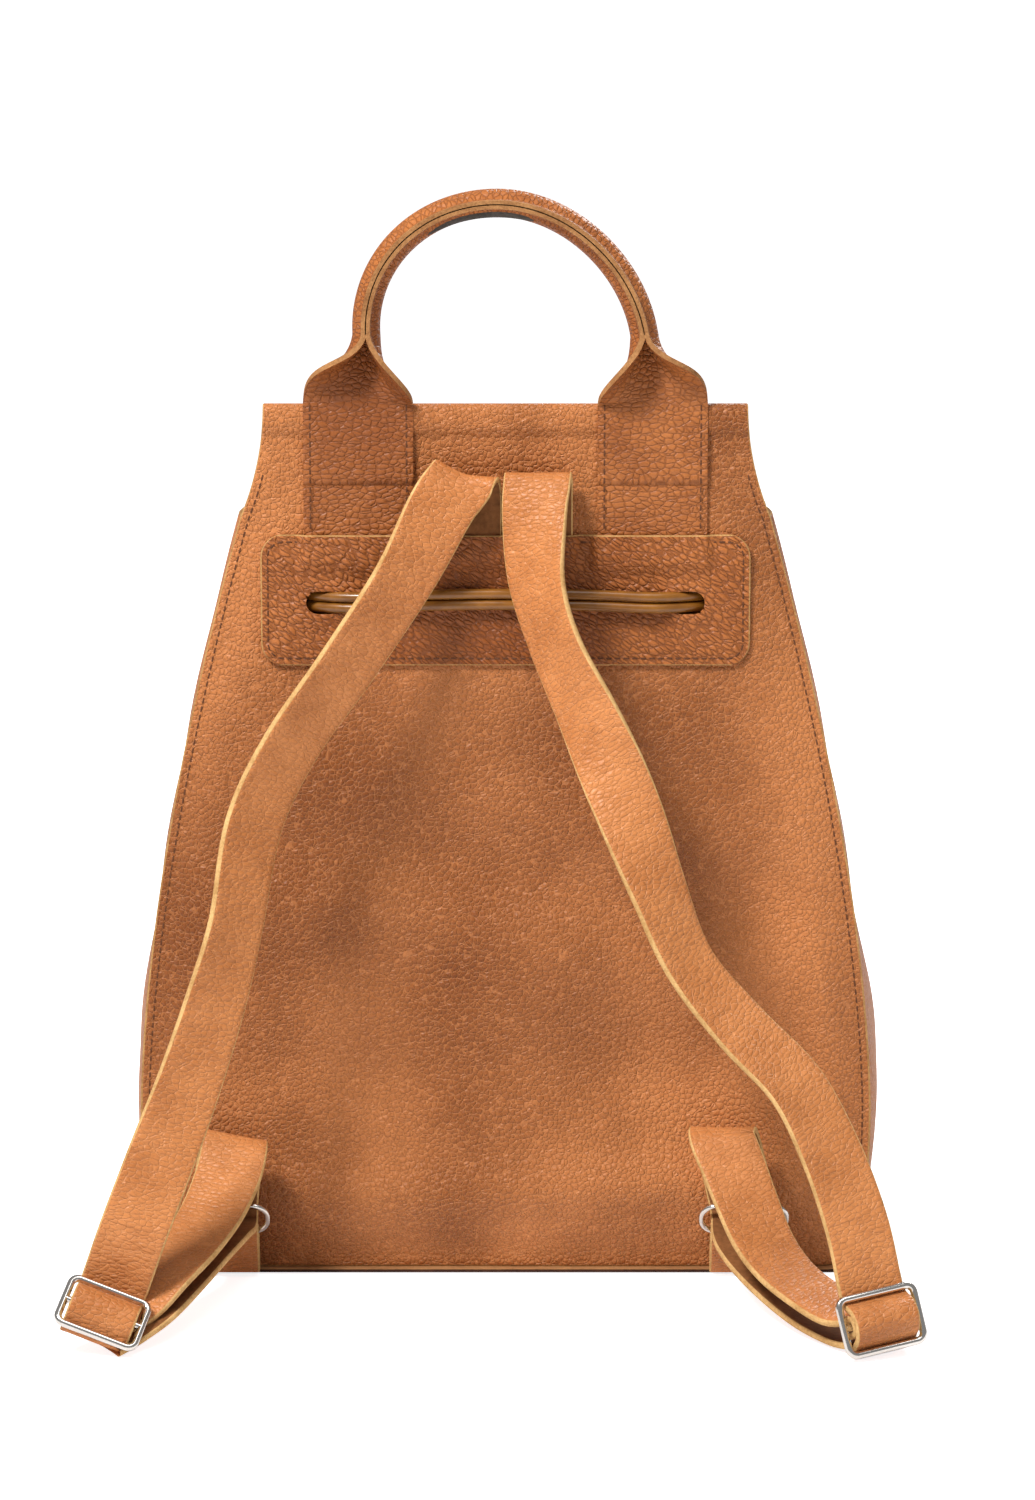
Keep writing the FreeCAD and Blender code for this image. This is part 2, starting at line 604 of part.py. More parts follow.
def make_strap(side):
    """One strap: fold at the top, hanging run, round the slider, through the ring, back and fixed."""
    centre, across, rise, out = slider_frame(side)
    half = strap_leather / 2
    hook = bar_radius + clearance + half
    bow = hook + strap_leather + clearance

    def local(s, n):
        p = centre.add(Vector(rise).multiply(s)).add(Vector(out).multiply(n))
        return (p.x, p.y, p.z, across.x, across.y, across.z)

    behind = -(bar_radius + clearance + half)
    through = (bow + bar_pitch) / 2 - 1.2
    over = [local(bar_pitch + 5, behind), local(bar_pitch - 0.5, behind), local(through, -0.6),
            local(bow * 0.8, bow * 0.62), local(0.0, bow), local(-bow * 0.8, bow * 0.62),
            local(-through, -0.6), local(-bar_pitch + 1.4, behind - 1.1)]
    end = [local(hook + 0.6, -7.0), local(hook, -1.0), local(hook * 0.75, hook * 0.75), local(0.0, hook),
           local(-hook * 0.75, hook * 0.75), local(-hook, -1.0), local(-hook - 0.2, -8.0)]
    stations = [turned(lifted(r, side)) for r in upper_fold[side] + hanging_run[side]] + over
    stations += [turned(r) for r in low_run[side] + ring_loop[side] + upper_run[side]] + end
    nodes[side + "_shoulder_strap"] = ribbon(smooth(stations, 2), strap_width, strap_leather)


# ---------------------------------------------------------------- drawstring
def make_drawstring():
    """One cord twice round the mouth, its two tails, the slide that draws them in, and their knots."""
    outside = -leather - cord_radius - cord_gap
    upper, lower = cord_hole_height + cord_radius + 0.1, cord_hole_height - cord_radius - 0.1
    inner_front = depth(cord_hole_height) - leather - cord_radius - 3 * cord_gap
    side_x = half_width(cord_hole_height) - leather - cord_radius - 4.0
    hole = cord_hole_x

    def round_side(sign, z):
        """From the back hole round the inside of one side, towards the front."""
        return [(sign * (hole + 13), 6.8, z), (sign * (side_x - 6), 13, z), (sign * side_x, 30, z),
                (sign * (side_x - 8), inner_front - 8, z), (sign * (side_x - 27), inner_front, z)]

    def strand(sign, z):
        """Out of one back hole, across the patch and into the other."""
        return [(sign * (hole - 13), outside - 2.3, z + 0.3), (sign * (hole - 34), outside - 1.2, z + 1.4),
                (sign * 16, outside - 0.8, z + 1.9), (-sign * 16, outside - 0.8, z + 1.9),
                (-sign * (hole - 34), outside - 1.2, z + 1.4), (-sign * (hole - 13), outside - 2.3, z + 0.3)]

    mid = cord_hole_height
    face = depth(mid)
    exit_y = face + 4.5
    entry_y = face - 7.5
    route = [(-front_hole_x + 8, exit_y, mid), (-front_hole_x - 10, entry_y, mid + 1)]
    route += list(reversed(round_side(-1, upper))) + strand(-1, upper) + round_side(1, upper)
    route += [(30, inner_front - 0.5, lower - 1.5), (-30, inner_front - 0.5, lower - 1.5)]
    route += list(reversed(round_side(-1, lower))) + strand(-1, lower) + round_side(1, lower)
    route += [(front_hole_x + 10, entry_y, mid + 1), (front_hole_x - 8, exit_y, mid)]
    nodes["drawstring"] = tube("drawstring", route, cord_radius)

    slide_top, slide_low = mid - 20, mid - 34
    pair = cord_radius + 1.4

    def off(z, gap):
        return depth(z) + cord_radius + gap

    slide_lean = (off(slide_low, 0) - off(slide_top, 0)) / (slide_top - slide_low)
    block = box((-9, 9), (-4.4, 4.4), (-(slide_top - slide_low) / 2, (slide_top - slide_low) / 2))
    block = block.makeFillet(3.0, [e for e in block.Edges if abs(e.Length - (slide_top - slide_low)) < 0.01])
    centre_z = (slide_top + slide_low) / 2
    for sign, name in ((-1, "left"), (1, "right")):
        bore = Part.makeCylinder(cord_radius + 0.15, 40, Vector(sign * pair, 0, -20), Vector(0, 0, 1))
        block = block.cut(bore)
    block.rotate(Vector(0, 0, 0), Vector(1, 0, 0), math.degrees(math.atan(slide_lean)))
    block.translate(Vector(0, off(centre_z, 2.5), centre_z))
    nodes["drawstring_slide"] = block

    knots = []
    for sign, name in ((-1, "left"), (1, "right")):
        mouth = Vector(sign * (front_hole_x - 8), exit_y, mid)
        before = Vector(sign * (front_hole_x + 10), entry_y, mid + 1)
        onward = mouth.add(mouth.sub(before).normalize().multiply(3.0))
        axis = Vector(0, -slide_lean, 1).normalize()
        middle = Vector(sign * pair, off(centre_z, 2.5), centre_z)
        above = middle.add(Vector(axis).multiply(12.0))
        below = middle.sub(Vector(axis).multiply(13.0))
        knot = Vector(sign * 11, off(mid - 66, knot_radius - cord_radius + 0.6), mid - 66)
        points = [tuple(mouth), tuple(onward), tuple(above), tuple(below),
                  (sign * 8.0, off(mid - 52, 1.6), mid - 52), tuple(knot)]
        ball = Part.makeSphere(knot_radius, knot)
        tail = tube(name + " tail", points, cord_radius, tail_bend)
        nodes[name + "_drawstring_tail"] = tail.cut(ball)
        knots.append(ball)
    nodes["drawstring_knots"] = Part.makeCompound(knots)


# ---------------------------------------------------------------- build and write
make_body()
make_cord_holes()
make_flap()
make_handle()
for side in ("left", "right"):
    make_ring(side)
    make_slider(side)
    make_strap(side)
make_drawstring()

os.makedirs("parts", exist_ok=True)
for name, shape in nodes.items():
    if not shape.isValid() or any(not s.isClosed() for s in shape.Shells):
        print("NOT VALID", name)
    print(name, len(shape.Solids), "solids", round(shape.Volume), "mm3",
          [round(v, 1) for v in (shape.BoundBox.XMin, shape.BoundBox.XMax, shape.BoundBox.YMin,
                                 shape.BoundBox.YMax, shape.BoundBox.ZMin, shape.BoundBox.ZMax)])
    moved = shape.copy()
    moved.translate(Vector(0, -base_depth / 2, 0))
    moved.exportStep(os.path.join("parts", name + ".step"))
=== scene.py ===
"""Leather flap backpack: the visual model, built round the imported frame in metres.

+Z is up, -Y faces the wearer's back, +Y is the flap's side, and the ground is z = 0.
"""

import math

import bpy
import numpy as np
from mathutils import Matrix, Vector


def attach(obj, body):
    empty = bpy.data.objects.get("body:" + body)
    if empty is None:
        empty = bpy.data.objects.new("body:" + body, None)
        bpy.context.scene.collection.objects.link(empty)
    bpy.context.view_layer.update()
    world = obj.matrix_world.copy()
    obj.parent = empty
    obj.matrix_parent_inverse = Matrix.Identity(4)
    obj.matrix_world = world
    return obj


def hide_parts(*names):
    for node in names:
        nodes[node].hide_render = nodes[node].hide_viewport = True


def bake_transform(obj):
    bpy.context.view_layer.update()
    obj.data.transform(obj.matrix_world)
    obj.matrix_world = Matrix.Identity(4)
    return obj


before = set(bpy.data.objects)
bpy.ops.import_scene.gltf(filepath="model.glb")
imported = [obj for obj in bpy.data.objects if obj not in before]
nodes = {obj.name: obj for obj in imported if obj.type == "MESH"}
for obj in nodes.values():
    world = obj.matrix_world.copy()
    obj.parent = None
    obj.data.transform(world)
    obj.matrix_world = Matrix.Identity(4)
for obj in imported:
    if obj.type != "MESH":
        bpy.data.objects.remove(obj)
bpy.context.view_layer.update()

# ---- studio
# A pale floor sweeps up behind the bag. The key light is above and to the left on the wearer's
# side, with a soft light behind the bag and a weak one overhead. The floor and the surroundings
# are white to the camera but light the bag less. The camera looks down a little from that side.
def add_node(tree, kind, inputs=None, **settings):
    """One shader node. An input is a value, or another node's output to link."""
    item = tree.nodes.new("ShaderNode" + kind)
    for key, value in settings.items():
        setattr(item, key, value)
    for key, value in (inputs or {}).items():
        if isinstance(value, bpy.types.NodeSocket):
            tree.links.new(value, item.inputs[key])
        else:
            item.inputs[key].default_value = value
    return item


def noise(tree, coords, scale, detail, **more):
    """A soft random value from 0 to 1."""
    inputs = {"Vector": coords, "Scale": scale, "Detail": detail, **more}
    return add_node(tree, "TexNoise", inputs).outputs["Fac"]


def calc(tree, operation, *values):
    """A value worked out from others."""
    return add_node(tree, "Math", dict(enumerate(values)), operation=operation).outputs[0]


def ranged(tree, value, span=(0.0, 1.0), onto=(0.0, 1.0), kind="LINEAR"):
    """A value taken from one span onto another."""
    inputs = {"Value": value, "From Min": span[0], "From Max": span[1], "To Min": onto[0],
        "To Max": onto[1]}
    return add_node(tree, "MapRange", inputs, interpolation_type=kind).outputs["Result"]


def mix(tree, factor, a, b, kind="RGBA"):
    """A blend of two colours, or of two values when the kind is FLOAT."""
    return add_node(tree, "Mix", {"Factor": factor, "A": a, "B": b}, data_type=kind).outputs["Result"]


def raised(tree, height, strength, distance):
    """A normal that follows a height."""
    inputs = {"Strength": strength, "Distance": distance, "Height": height}
    return add_node(tree, "Bump", inputs).outputs["Normal"]


def new_finish(name):
    """An empty material, its tree, and the places on a piece that its patterns can follow."""
    finish = bpy.data.materials.new(name)
    finish.use_nodes = True
    finish.node_tree.nodes.clear()
    return finish, finish.node_tree, add_node(finish.node_tree, "TexCoord").outputs


def close_finish(tree, shader):
    """Joins the shader to the material's output."""
    output = add_node(tree, "OutputMaterial")
    tree.links.new(shader.outputs[0], output.inputs["Surface"])


def close_solid(tree, colour, roughness, more):
    """Ends a finish with a plain solid surface."""
    inputs = {"Base Color": colour, "Roughness": roughness, **more}
    close_finish(tree, add_node(tree, "BsdfPrincipled", inputs))


def by_view(tree, unseen, seen):
    """One shader for the camera's own rays and another for all the rest."""
    camera_ray = add_node(tree, "LightPath").outputs["Is Camera Ray"]
    return add_node(tree, "MixShader", {0: camera_ray, 1: unseen.outputs[0], 2: seen.outputs[0]})


def mesh_object(name, points, quads, finishes, finish_index=None, uv=None, sharp_angle=50):
    """A mesh of quads, smooth but for edges sharper than sharp_angle degrees."""
    mesh = bpy.data.meshes.new(name)
    mesh.vertices.add(len(points))
    mesh.vertices.foreach_set("co", np.ascontiguousarray(points, dtype=np.float32).ravel())
    mesh.loops.add(quads.size)
    mesh.loops.foreach_set("vertex_index", quads.astype(np.int32).ravel())
    mesh.polygons.add(len(quads))
    mesh.polygons.foreach_set("loop_start", np.arange(0, quads.size, 4, dtype=np.int32))
    if finish_index is not None:
        mesh.polygons.foreach_set("material_index", finish_index.astype(np.int32))
    mesh.update(calc_edges=True)
    for finish in finishes:
        mesh.materials.append(finish)
    if uv is not None:
        layer = mesh.uv_layers.new(name="surface")
        layer.data.foreach_set("uv", uv[quads.ravel()].astype(np.float32).ravel())
    mesh.shade_smooth()
    mesh.set_sharp_from_angle(angle=math.radians(sharp_angle))
    piece = bpy.data.objects.new(name, mesh)
    bpy.context.scene.collection.objects.link(piece)
    return piece


def grid_quads(rows, columns):
    """The quads of a grid of points, row by row; rows run along v and columns along u."""
    corner = (np.arange(rows - 1)[:, None] * columns + np.arange(columns - 1)[None, :]).ravel()
    return np.stack([corner, corner + 1, corner + columns + 1, corner + columns], axis=1)


def grid_of(x, y, z):
    """Points from coordinates that are spread over one another's rows and columns."""
    return np.stack(np.broadcast_arrays(x, y, z), axis=-1)


def area_light(name, place, aim, size, power, colour):
    """A square soft light at place, facing the point aim."""
    lamp = bpy.data.lights.new(name, "AREA")
    lamp.size = size
    lamp.energy = power
    lamp.color = colour
    holder = bpy.data.objects.new(name, lamp)
    holder.location = place
    holder.rotation_euler = (Vector(aim) - Vector(place)).to_track_quat("-Z", "Y").to_euler()
    bpy.context.scene.collection.objects.link(holder)


floor_finish, floor_tree, _ = new_finish("studio floor")
paper = {"Base Color": (0.93, 0.925, 0.935, 1), "Roughness": 0.6, "Specular IOR Level": 0.2}
glow = {"Emission Color": (1.0, 0.99, 1.0, 1), "Emission Strength": 0.82}
plain_paper = add_node(floor_tree, "BsdfPrincipled", paper)
lit_paper = add_node(floor_tree, "BsdfPrincipled", {**paper, **glow})
close_finish(floor_tree, by_view(floor_tree, plain_paper, lit_paper))
floor_reach, sweep_radius, sweep_rise = 9.0, 2.0, 8.0
sweep_angle = np.linspace(0, math.pi / 2, 24)
sweep_y = floor_reach - sweep_radius + sweep_radius * np.sin(sweep_angle)
sweep_z = sweep_radius - sweep_radius * np.cos(sweep_angle)
floor_y = np.concatenate([[-floor_reach], sweep_y, [floor_reach]])[:, None]
floor_z = np.concatenate([[0.0], sweep_z, [sweep_rise]])[:, None]
floor_points = grid_of(np.array([-floor_reach, floor_reach]), floor_y, floor_z)
floor = mesh_object("studio_floor", floor_points.reshape(-1, 3), grid_quads(len(floor_y), 2),
    [floor_finish])

bpy.context.scene.view_settings.view_transform = "Standard"
world = bpy.data.worlds.new("studio")
bpy.context.scene.world = world
world.use_nodes = True
sky = world.node_tree
sky.nodes.clear()
fill_light = add_node(sky, "Background", {"Color": (1.0, 1.0, 1.0, 1), "Strength": 0.27})
white_wall = add_node(sky, "Background", {"Color": (1.0, 1.0, 1.0, 1), "Strength": 1.0})
around = by_view(sky, fill_light, white_wall)
sky.links.new(around.outputs[0], add_node(sky, "OutputWorld").inputs["Surface"])
area_light("key", (-0.85, -1.15, 1.9), (0, 0, 0.2), 0.5, 52, (1.0, 0.985, 0.965))
area_light("rear", (0.9, 1.7, 1.5), (0, 0, 0.2), 0.9, 30, (1.0, 1.0, 1.0))
area_light("overhead", (0.4, -0.8, 2.1), (0, 0, 0.1), 1.0, 10, (1.0, 1.0, 1.0))

camera_data = bpy.data.cameras.new("camera")
camera_data.lens = 116.4
camera_data.sensor_width = 36.0
camera_data.sensor_fit = "AUTO"
camera = bpy.data.objects.new("camera", camera_data)
camera.location = (0.005, -2.064, 0.6)
camera.rotation_euler = (math.radians(90 - 10.53), 0, 0)
bpy.context.scene.collection.objects.link(camera)
bpy.context.scene.camera = camera

# ---- back panel
# One piece of tumbled full-grain leather, 1.8 mm thick, from the base seam up to the rim, where
# it rolls over a filler. Its side edges are left raw and stitched to the gussets.
BACK = -0.064
leather = 0.0018
rim_height, mouth_height, belly_height = 0.374, 0.326, 0.070
base_half, belly_half, mouth_half, rim_half = 0.151, 0.1555, 0.1105, 0.1005
base_depth, mouth_depth = 0.128, 0.052
cord_hole = (0.076, 0.291)
cord_hole_radius, cord_hole_half = 0.0058, 0.0032


def smoothstep(low, high, value):
    """0 below low and 1 above high, with a smooth rise between."""
    t = np.clip((value - low) / (high - low), 0, 1)
    return t * t * (3 - 2 * t)


def bump(centre, width, value):
    """A round hump of height 1 at centre, fading over width."""
    return np.exp(-((value - centre) / width) ** 2)


def half_width(z):
    """Half the bag's width: a quarter sine up to the belly, a power curve to the mouth and a
    parabola to the rim."""
    low = base_half + (belly_half - base_half) * np.sin(math.pi / 2 * np.clip(z / belly_height, 0, 1))
    run = np.clip((z - belly_height) / (mouth_height - belly_height), 0, 1)
    middle = belly_half - (belly_half - mouth_half) * run ** 1.62
    neck = np.clip((rim_height - z) / (rim_height - mouth_height), 0, 1)
    high = rim_half + (mouth_half - rim_half) * neck ** 2
    return np.where(z <= belly_height, low, np.where(z <= mouth_height, middle, high))


def depth(z):
    """The bag's depth: deep at the base, closing towards the mouth as a power curve."""
    run = np.clip(z / mouth_height, 0, 1.1)
    return base_depth - (base_depth - mouth_depth) * run ** 1.5


def leather_finish(name, light, dark, crease, cell, relief, crease_share, stretch=(1, 1, 1), turn=0.0,
        roughness=0.42, follows_surface=False, wrinkles=0.0, broad=0.5, gap_width=0.16,
        clouds=(10, 10, 10), painted_shade=()):
    """Tumbled leather: cloudy colour, rounded pebbles from cell noise, and creases between them.
    Pebbles are stretched by factors along axes that are turned about the face's normal. Spots of
    painted shade darken the colour where shade falls: each is a place, how far it reaches and how much it
    darkens."""
    finish, tree, places = new_finish(name)
    coords = places["UV" if follows_surface else "Object"]
    angle = math.radians(turn)
    rotation = (0, 0, angle) if follows_surface else (0, angle, 0)
    placed = add_node(tree, "Mapping", {"Vector": coords, "Scale": stretch, "Rotation": rotation},
        vector_type="TEXTURE").outputs["Vector"]
    wander = add_node(tree, "TexNoise", {"Vector": placed, "Scale": 0.45 / cell, "Detail": 2.0})
    shift = add_node(tree, "VectorMath", {0: wander.outputs["Color"], 1: (cell * 0.9,) * 3},
        operation="MULTIPLY").outputs[0]
    warped = add_node(tree, "VectorMath", {0: placed, 1: shift}, operation="ADD").outputs[0]
    edge = add_node(tree, "TexVoronoi", {"Vector": warped, "Scale": 1 / cell},
        feature="DISTANCE_TO_EDGE").outputs["Distance"]
    dome = add_node(tree, "TexVoronoi", {"Vector": warped, "Scale": 1 / cell, "Smoothness": 0.35},
        feature="SMOOTH_F1").outputs["Distance"]
    gap = ranged(tree, edge, (0.0, gap_width), (1.0, 0.0), "SMOOTHSTEP")
    fine = noise(tree, placed, 3.2 / cell, 3.0)
    streaked = add_node(tree, "Mapping", {"Vector": coords, "Scale": clouds}).outputs["Vector"]
    cloud = noise(tree, streaked, 1.0, 2.0, Roughness=0.5)
    patchy = noise(tree, coords, 55.0, 3.0, Roughness=0.6)
    cloudy = mix(tree, 1 - broad, cloud, patchy, "FLOAT")
    cloudy = mix(tree, 0.22, cloudy, fine, "FLOAT")
    tone = ranged(tree, cloudy, (0.27, 0.69), kind="SMOOTHSTEP")
    # Painted shade: each spot pulls the tone towards the dark colour, as shade would.
    for centre, radius, amount in painted_shade:
        away = add_node(tree, "VectorMath", {0: coords, 1: centre}, operation="DISTANCE")
        shade_factor = ranged(tree, away.outputs["Value"], (0.0, radius), (1 - amount, 1.0), "SMOOTHSTEP")
        tone = calc(tree, "MULTIPLY", tone, shade_factor)
    colour = mix(tree, tone, (*dark, 1), (*light, 1))
    creased = mix(tree, calc(tree, "MULTIPLY", gap, crease_share), colour, (*crease, 1))
    rise = calc(tree, "MULTIPLY_ADD", dome, -0.75, 0.75)
    rise = calc(tree, "MULTIPLY_ADD", gap, -0.35, rise)
    rise = calc(tree, "MULTIPLY_ADD", fine, 0.16, rise)
    if wrinkles:
        across = add_node(tree, "Mapping", {"Vector": coords, "Scale": (45, 260, 1)}).outputs["Vector"]
        folds = noise(tree, across, 1.0, 2.0, Distortion=0.6)
        rise = calc(tree, "MULTIPLY_ADD", folds, wrinkles, rise)
    gloss = ranged(tree, patchy, onto=(roughness - 0.06, roughness + 0.08))
    close_solid(tree, creased, gloss,
        {"Normal": raised(tree, rise, 1.0, relief), "Specular IOR Level": 0.3})
    return finish


def fibre_finish(name, light, dark, scale=900.0):
    """The cut edge or the flesh side of leather: pale, matt and fibrous."""
    finish, tree, places = new_finish(name)
    grain = noise(tree, places["Object"], scale, 4.0)
    blotch = noise(tree, places["Object"], 90.0, 2.0)
    tone = ranged(tree, mix(tree, 0.5, grain, blotch, "FLOAT"), (0.35, 0.65))
    close_solid(tree, mix(tree, tone, (*dark, 1), (*light, 1)), 0.85,
        {"Normal": raised(tree, grain, 0.8, 0.0003), "Specular IOR Level": 0.2})
    return finish


# Its spots of painted shade darken the body beside the left strap, in the middle below the patch and near
# the right strap, where shade falls.
body_leather = leather_finish("body leather", (0.60, 0.216, 0.066), (0.19, 0.048, 0.007),
    (0.66, 0.26, 0.09), cell=0.0021, relief=0.0008, crease_share=0.36, gap_width=0.15, broad=0.85,
    clouds=(14, 14, 8), painted_shade=(((-0.062, -0.064, 0.215), 0.08, 0.9), ((-0.130, -0.064, 0.150), 0.08, 0.9),
    ((0.0, -0.064, 0.110), 0.10, 0.55), ((0.045, -0.064, 0.235), 0.07, 0.6)))
raw_edge = fibre_finish("raw edge", (0.58, 0.33, 0.125), (0.34, 0.165, 0.055))
flesh_side = fibre_finish("flesh side", (0.42, 0.21, 0.085), (0.30, 0.14, 0.055), 500.0)
leather_layers = [body_leather, raw_edge, flesh_side]
edge_band = 0.0006


def spaced(low, high, pitch, margin=edge_band):
    """Even places from low to high, with one more place just inside each end for the worn edge."""
    count = max(int(round((high - low) / pitch)), 3)
    inner = np.linspace(low, high, count + 1)[1:-1]
    return np.concatenate([[low, low + margin], inner, [high - margin, high]])


def wall(name, points, thickness, finishes, keep=None, dip=0.0003, uv=None):
    """A closed sheet from a grid of points: the surface, its copy one thickness behind along the
    normals, and a rim round every free edge. The outermost band of quads dips like a cut edge.
    Finishes are for the face, the rim and the band, and the back."""
    rows, columns = points.shape[:2]
    along_v, along_u = np.gradient(points, axis=0), np.gradient(points, axis=1)
    normal = np.cross(along_u, along_v)
    normal /= np.maximum(np.linalg.norm(normal, axis=-1, keepdims=True), 1e-12)
    normal = normal.reshape(-1, 3)
    quads = grid_quads(rows, columns)
    if keep is not None:
        quads = quads[keep.ravel()]
    count = rows * columns
    starts, ends = quads.ravel(), np.roll(quads, -1, axis=1).ravel()
    free = ~np.isin(starts * count + ends, ends * count + starts)
    rim_starts, rim_ends = starts[free], ends[free]
    on_rim = np.zeros(count, bool)
    on_rim[rim_starts] = True
    dips = np.where(on_rim[:, None], dip, 0)
    face = points.reshape(-1, 3) - dips * normal
    behind = points.reshape(-1, 3) - (thickness - dips) * normal
    outline = np.zeros((rows, columns), bool)
    outline[[0, -1]] = True
    outline[:, [0, -1]] = True
    outline = outline.ravel()
    index = np.where(outline[quads].any(axis=1), 1, 0)
    rim = np.stack([rim_ends, rim_starts, rim_starts + count, rim_ends + count], axis=1)
    all_quads = np.concatenate([quads, quads[:, ::-1] + count, rim])
    all_index = np.concatenate([index, np.full(len(quads), 2), np.where(outline[rim_starts], 1, 0)])
    used = np.unique(all_quads)
    lookup = np.zeros(2 * count, int)
    lookup[used] = np.arange(len(used))
    if uv is not None:
        uv = np.concatenate([uv.reshape(-1, 2)] * 2)[used]
    both = np.concatenate([face, behind])[used]
    return mesh_object(name, both, lookup[all_quads], finishes, all_index, uv)


def rounded_grid(half_a, half_b, radius, pitch):
    """A grid on a rounded rectangle. Near the corners each row's ends are drawn in to the corner's
    circle: at turn t the row lies radius * (1 - cos t) inside and is radius * (1 - sin t) shorter."""
    turn = np.radians([9, 18, 30, 42, 54, 66, 78, 90])
    shorter = radius * (1 - np.sin(turn))
    inside = np.concatenate([[0], radius * (1 - np.cos(turn[1:]))])
    count = max(int((half_b - radius) * 2 / pitch), 2)
    straight = np.linspace(-half_b + radius, half_b - radius, count)[1:-1]
    row_b = np.concatenate([-half_b + inside, straight, half_b - inside[::-1]])
    row_cut = np.concatenate([shorter, np.zeros(len(straight)), shorter[::-1]])[:, None]
    column = spaced(-half_a, half_a, pitch)[None, :]
    beyond = np.maximum(np.abs(column) - (half_a - radius), 0)
    a = column - np.sign(column) * beyond * row_cut / radius
    return a, np.broadcast_to(row_b[:, None], a.shape).copy()


def cord_hole_distance(x, z, hole_x=None, tighter=0.0):
    """Signed distance to the nearer of the two cord holes, negative inside."""
    centre = cord_hole[0] if hole_x is None else hole_x
    away = np.maximum(np.abs(np.abs(x) - centre) - cord_hole_half + tighter, 0)
    return np.hypot(away, z - cord_hole[1]) - cord_hole_radius + tighter


def snap_to(x, z, distance, near):
    """Moves the points that lie within near of an outline onto it, along the distance's gradient."""
    step = 1e-5
    for _ in range(3):
        d = distance(x, z)
        slope_x = (distance(x + step, z) - distance(x - step, z)) / (2 * step)
        slope_z = (distance(x, z + step) - distance(x, z - step)) / (2 * step)
        close = np.abs(d) < near
        x = np.where(close, x - d * slope_x, x)
        z = np.where(close, z - d * slope_z, z)
    return x, z


def off_holes(points, distance):
    """Which quads of a grid have their middle outside the holes."""
    middle = (points[:-1, :-1] + points[1:, 1:]) / 2
    return distance(middle[..., 0], middle[..., 2]) > 0


def back_wave(x, z):
    """How far the back panel's face stands out: a ridge above the base, soft folds across the
    belly, and slow vertical waves, all fading out where the patch and tabs lie flat."""
    fade = 1 - smoothstep(0.215, 0.255, z)
    side = half_width(z)
    inside = 1 - smoothstep(0.72, 0.97, np.abs(x) / side)
    ridge = 0.0052 * bump(0.036 + 0.003 * np.sin(x * 22), 0.014, z) - 0.0032 * bump(0.090, 0.018, z)
    folds = 0.0022 * np.sin(z * 95 + 1.6 * np.sin(x * 17) + 0.5) * bump(0.165, 0.05, z)
    upright = 0.0022 * np.sin(x * 46 + 1.1 * np.sin(z * 21)) * bump(0.14, 0.09, z)
    corner = 0.0018 * bump(0.085, 0.03, np.abs(x)) * bump(0.20, 0.03, z) * np.sin(x * 60 + z * 30)
    return (ridge + folds + upright + corner) * fade * inside


edge_turn, turn_reach = 0.0034, 0.020
foot_turn, foot_reach = 0.0050, 0.022
roll_half, roll_rise = 0.0065, 0.0019
panel_foot, panel_pitch, snap_reach = 0.0022, 0.0016, 0.0009


def back_face(x, z):
    """y of the back panel's outer face: flat, rounding back towards its side edges and its foot,
    with half an ellipse along the rim, where the leather goes over a filler."""
    from_edge = half_width(z) - np.abs(x)
    turn = edge_turn * (1 - smoothstep(0.0, turn_reach, from_edge)) * (1 - smoothstep(0.31, 0.34, z))
    foot = foot_turn * (1 - smoothstep(0.0, foot_reach, z))
    up_roll = (z - rim_height + roll_half) / roll_half
    roll = roll_rise * np.sqrt(np.clip(1 - up_roll ** 2, 0, 1))
    return BACK + turn + foot - roll - back_wave(x, z)


rim_radius, hem_low, hem_rows = 0.0024, 0.361, 5
rim_run = spaced(panel_foot, rim_height - rim_radius, panel_pitch)
cols_u = spaced(-1.0, 1.0, 0.0105, 0.005)[None, :]
panel_z = np.repeat(rim_run[:, None], cols_u.shape[1], axis=1)
panel_x = cols_u * half_width(panel_z)
panel_x, panel_z = snap_to(panel_x, panel_z, cord_hole_distance, snap_reach)
panel = np.stack([panel_x, back_face(panel_x, panel_z), panel_z], axis=-1)
roll = np.linspace(0, math.pi, 12)[1:]
roll_y = BACK + rim_radius - 0.0007 - (rim_radius + 0.0006) * np.cos(roll)
roll_z = rim_height - rim_radius + rim_radius * np.sin(roll)
over_y = np.concatenate([roll_y, np.full(hem_rows, roll_y[-1])])[:, None]
over_z = np.concatenate([roll_z, np.linspace(roll_z[-1] - 0.001, hem_low, hem_rows)])[:, None]
over_x = cols_u * half_width(np.minimum(over_z, rim_height))
panel = np.concatenate([panel, grid_of(over_x, over_y, over_z)])
past_rim = np.arange(len(panel) - 1)[:, None] > len(rim_run)
back_panel = wall("back_panel", panel, leather, leather_layers,
    off_holes(panel, cord_hole_distance) | past_rim)
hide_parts("back_panel")
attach(back_panel, "bag")

# Stitches, as short thick threads lying on the leather. Those of the back panel run 3.6 mm inside
# its raw edges.
thread, thread_tree, thread_places = new_finish("dark thread")
twist = noise(thread_tree, thread_places["Object"], 1800.0, 1.0)
thread_colour = mix(thread_tree, twist, (0.096, 0.033, 0.012, 1), (0.16, 0.055, 0.02, 1))
close_solid(thread_tree, thread_colour, 0.7, {"Specular IOR Level": 0.3})


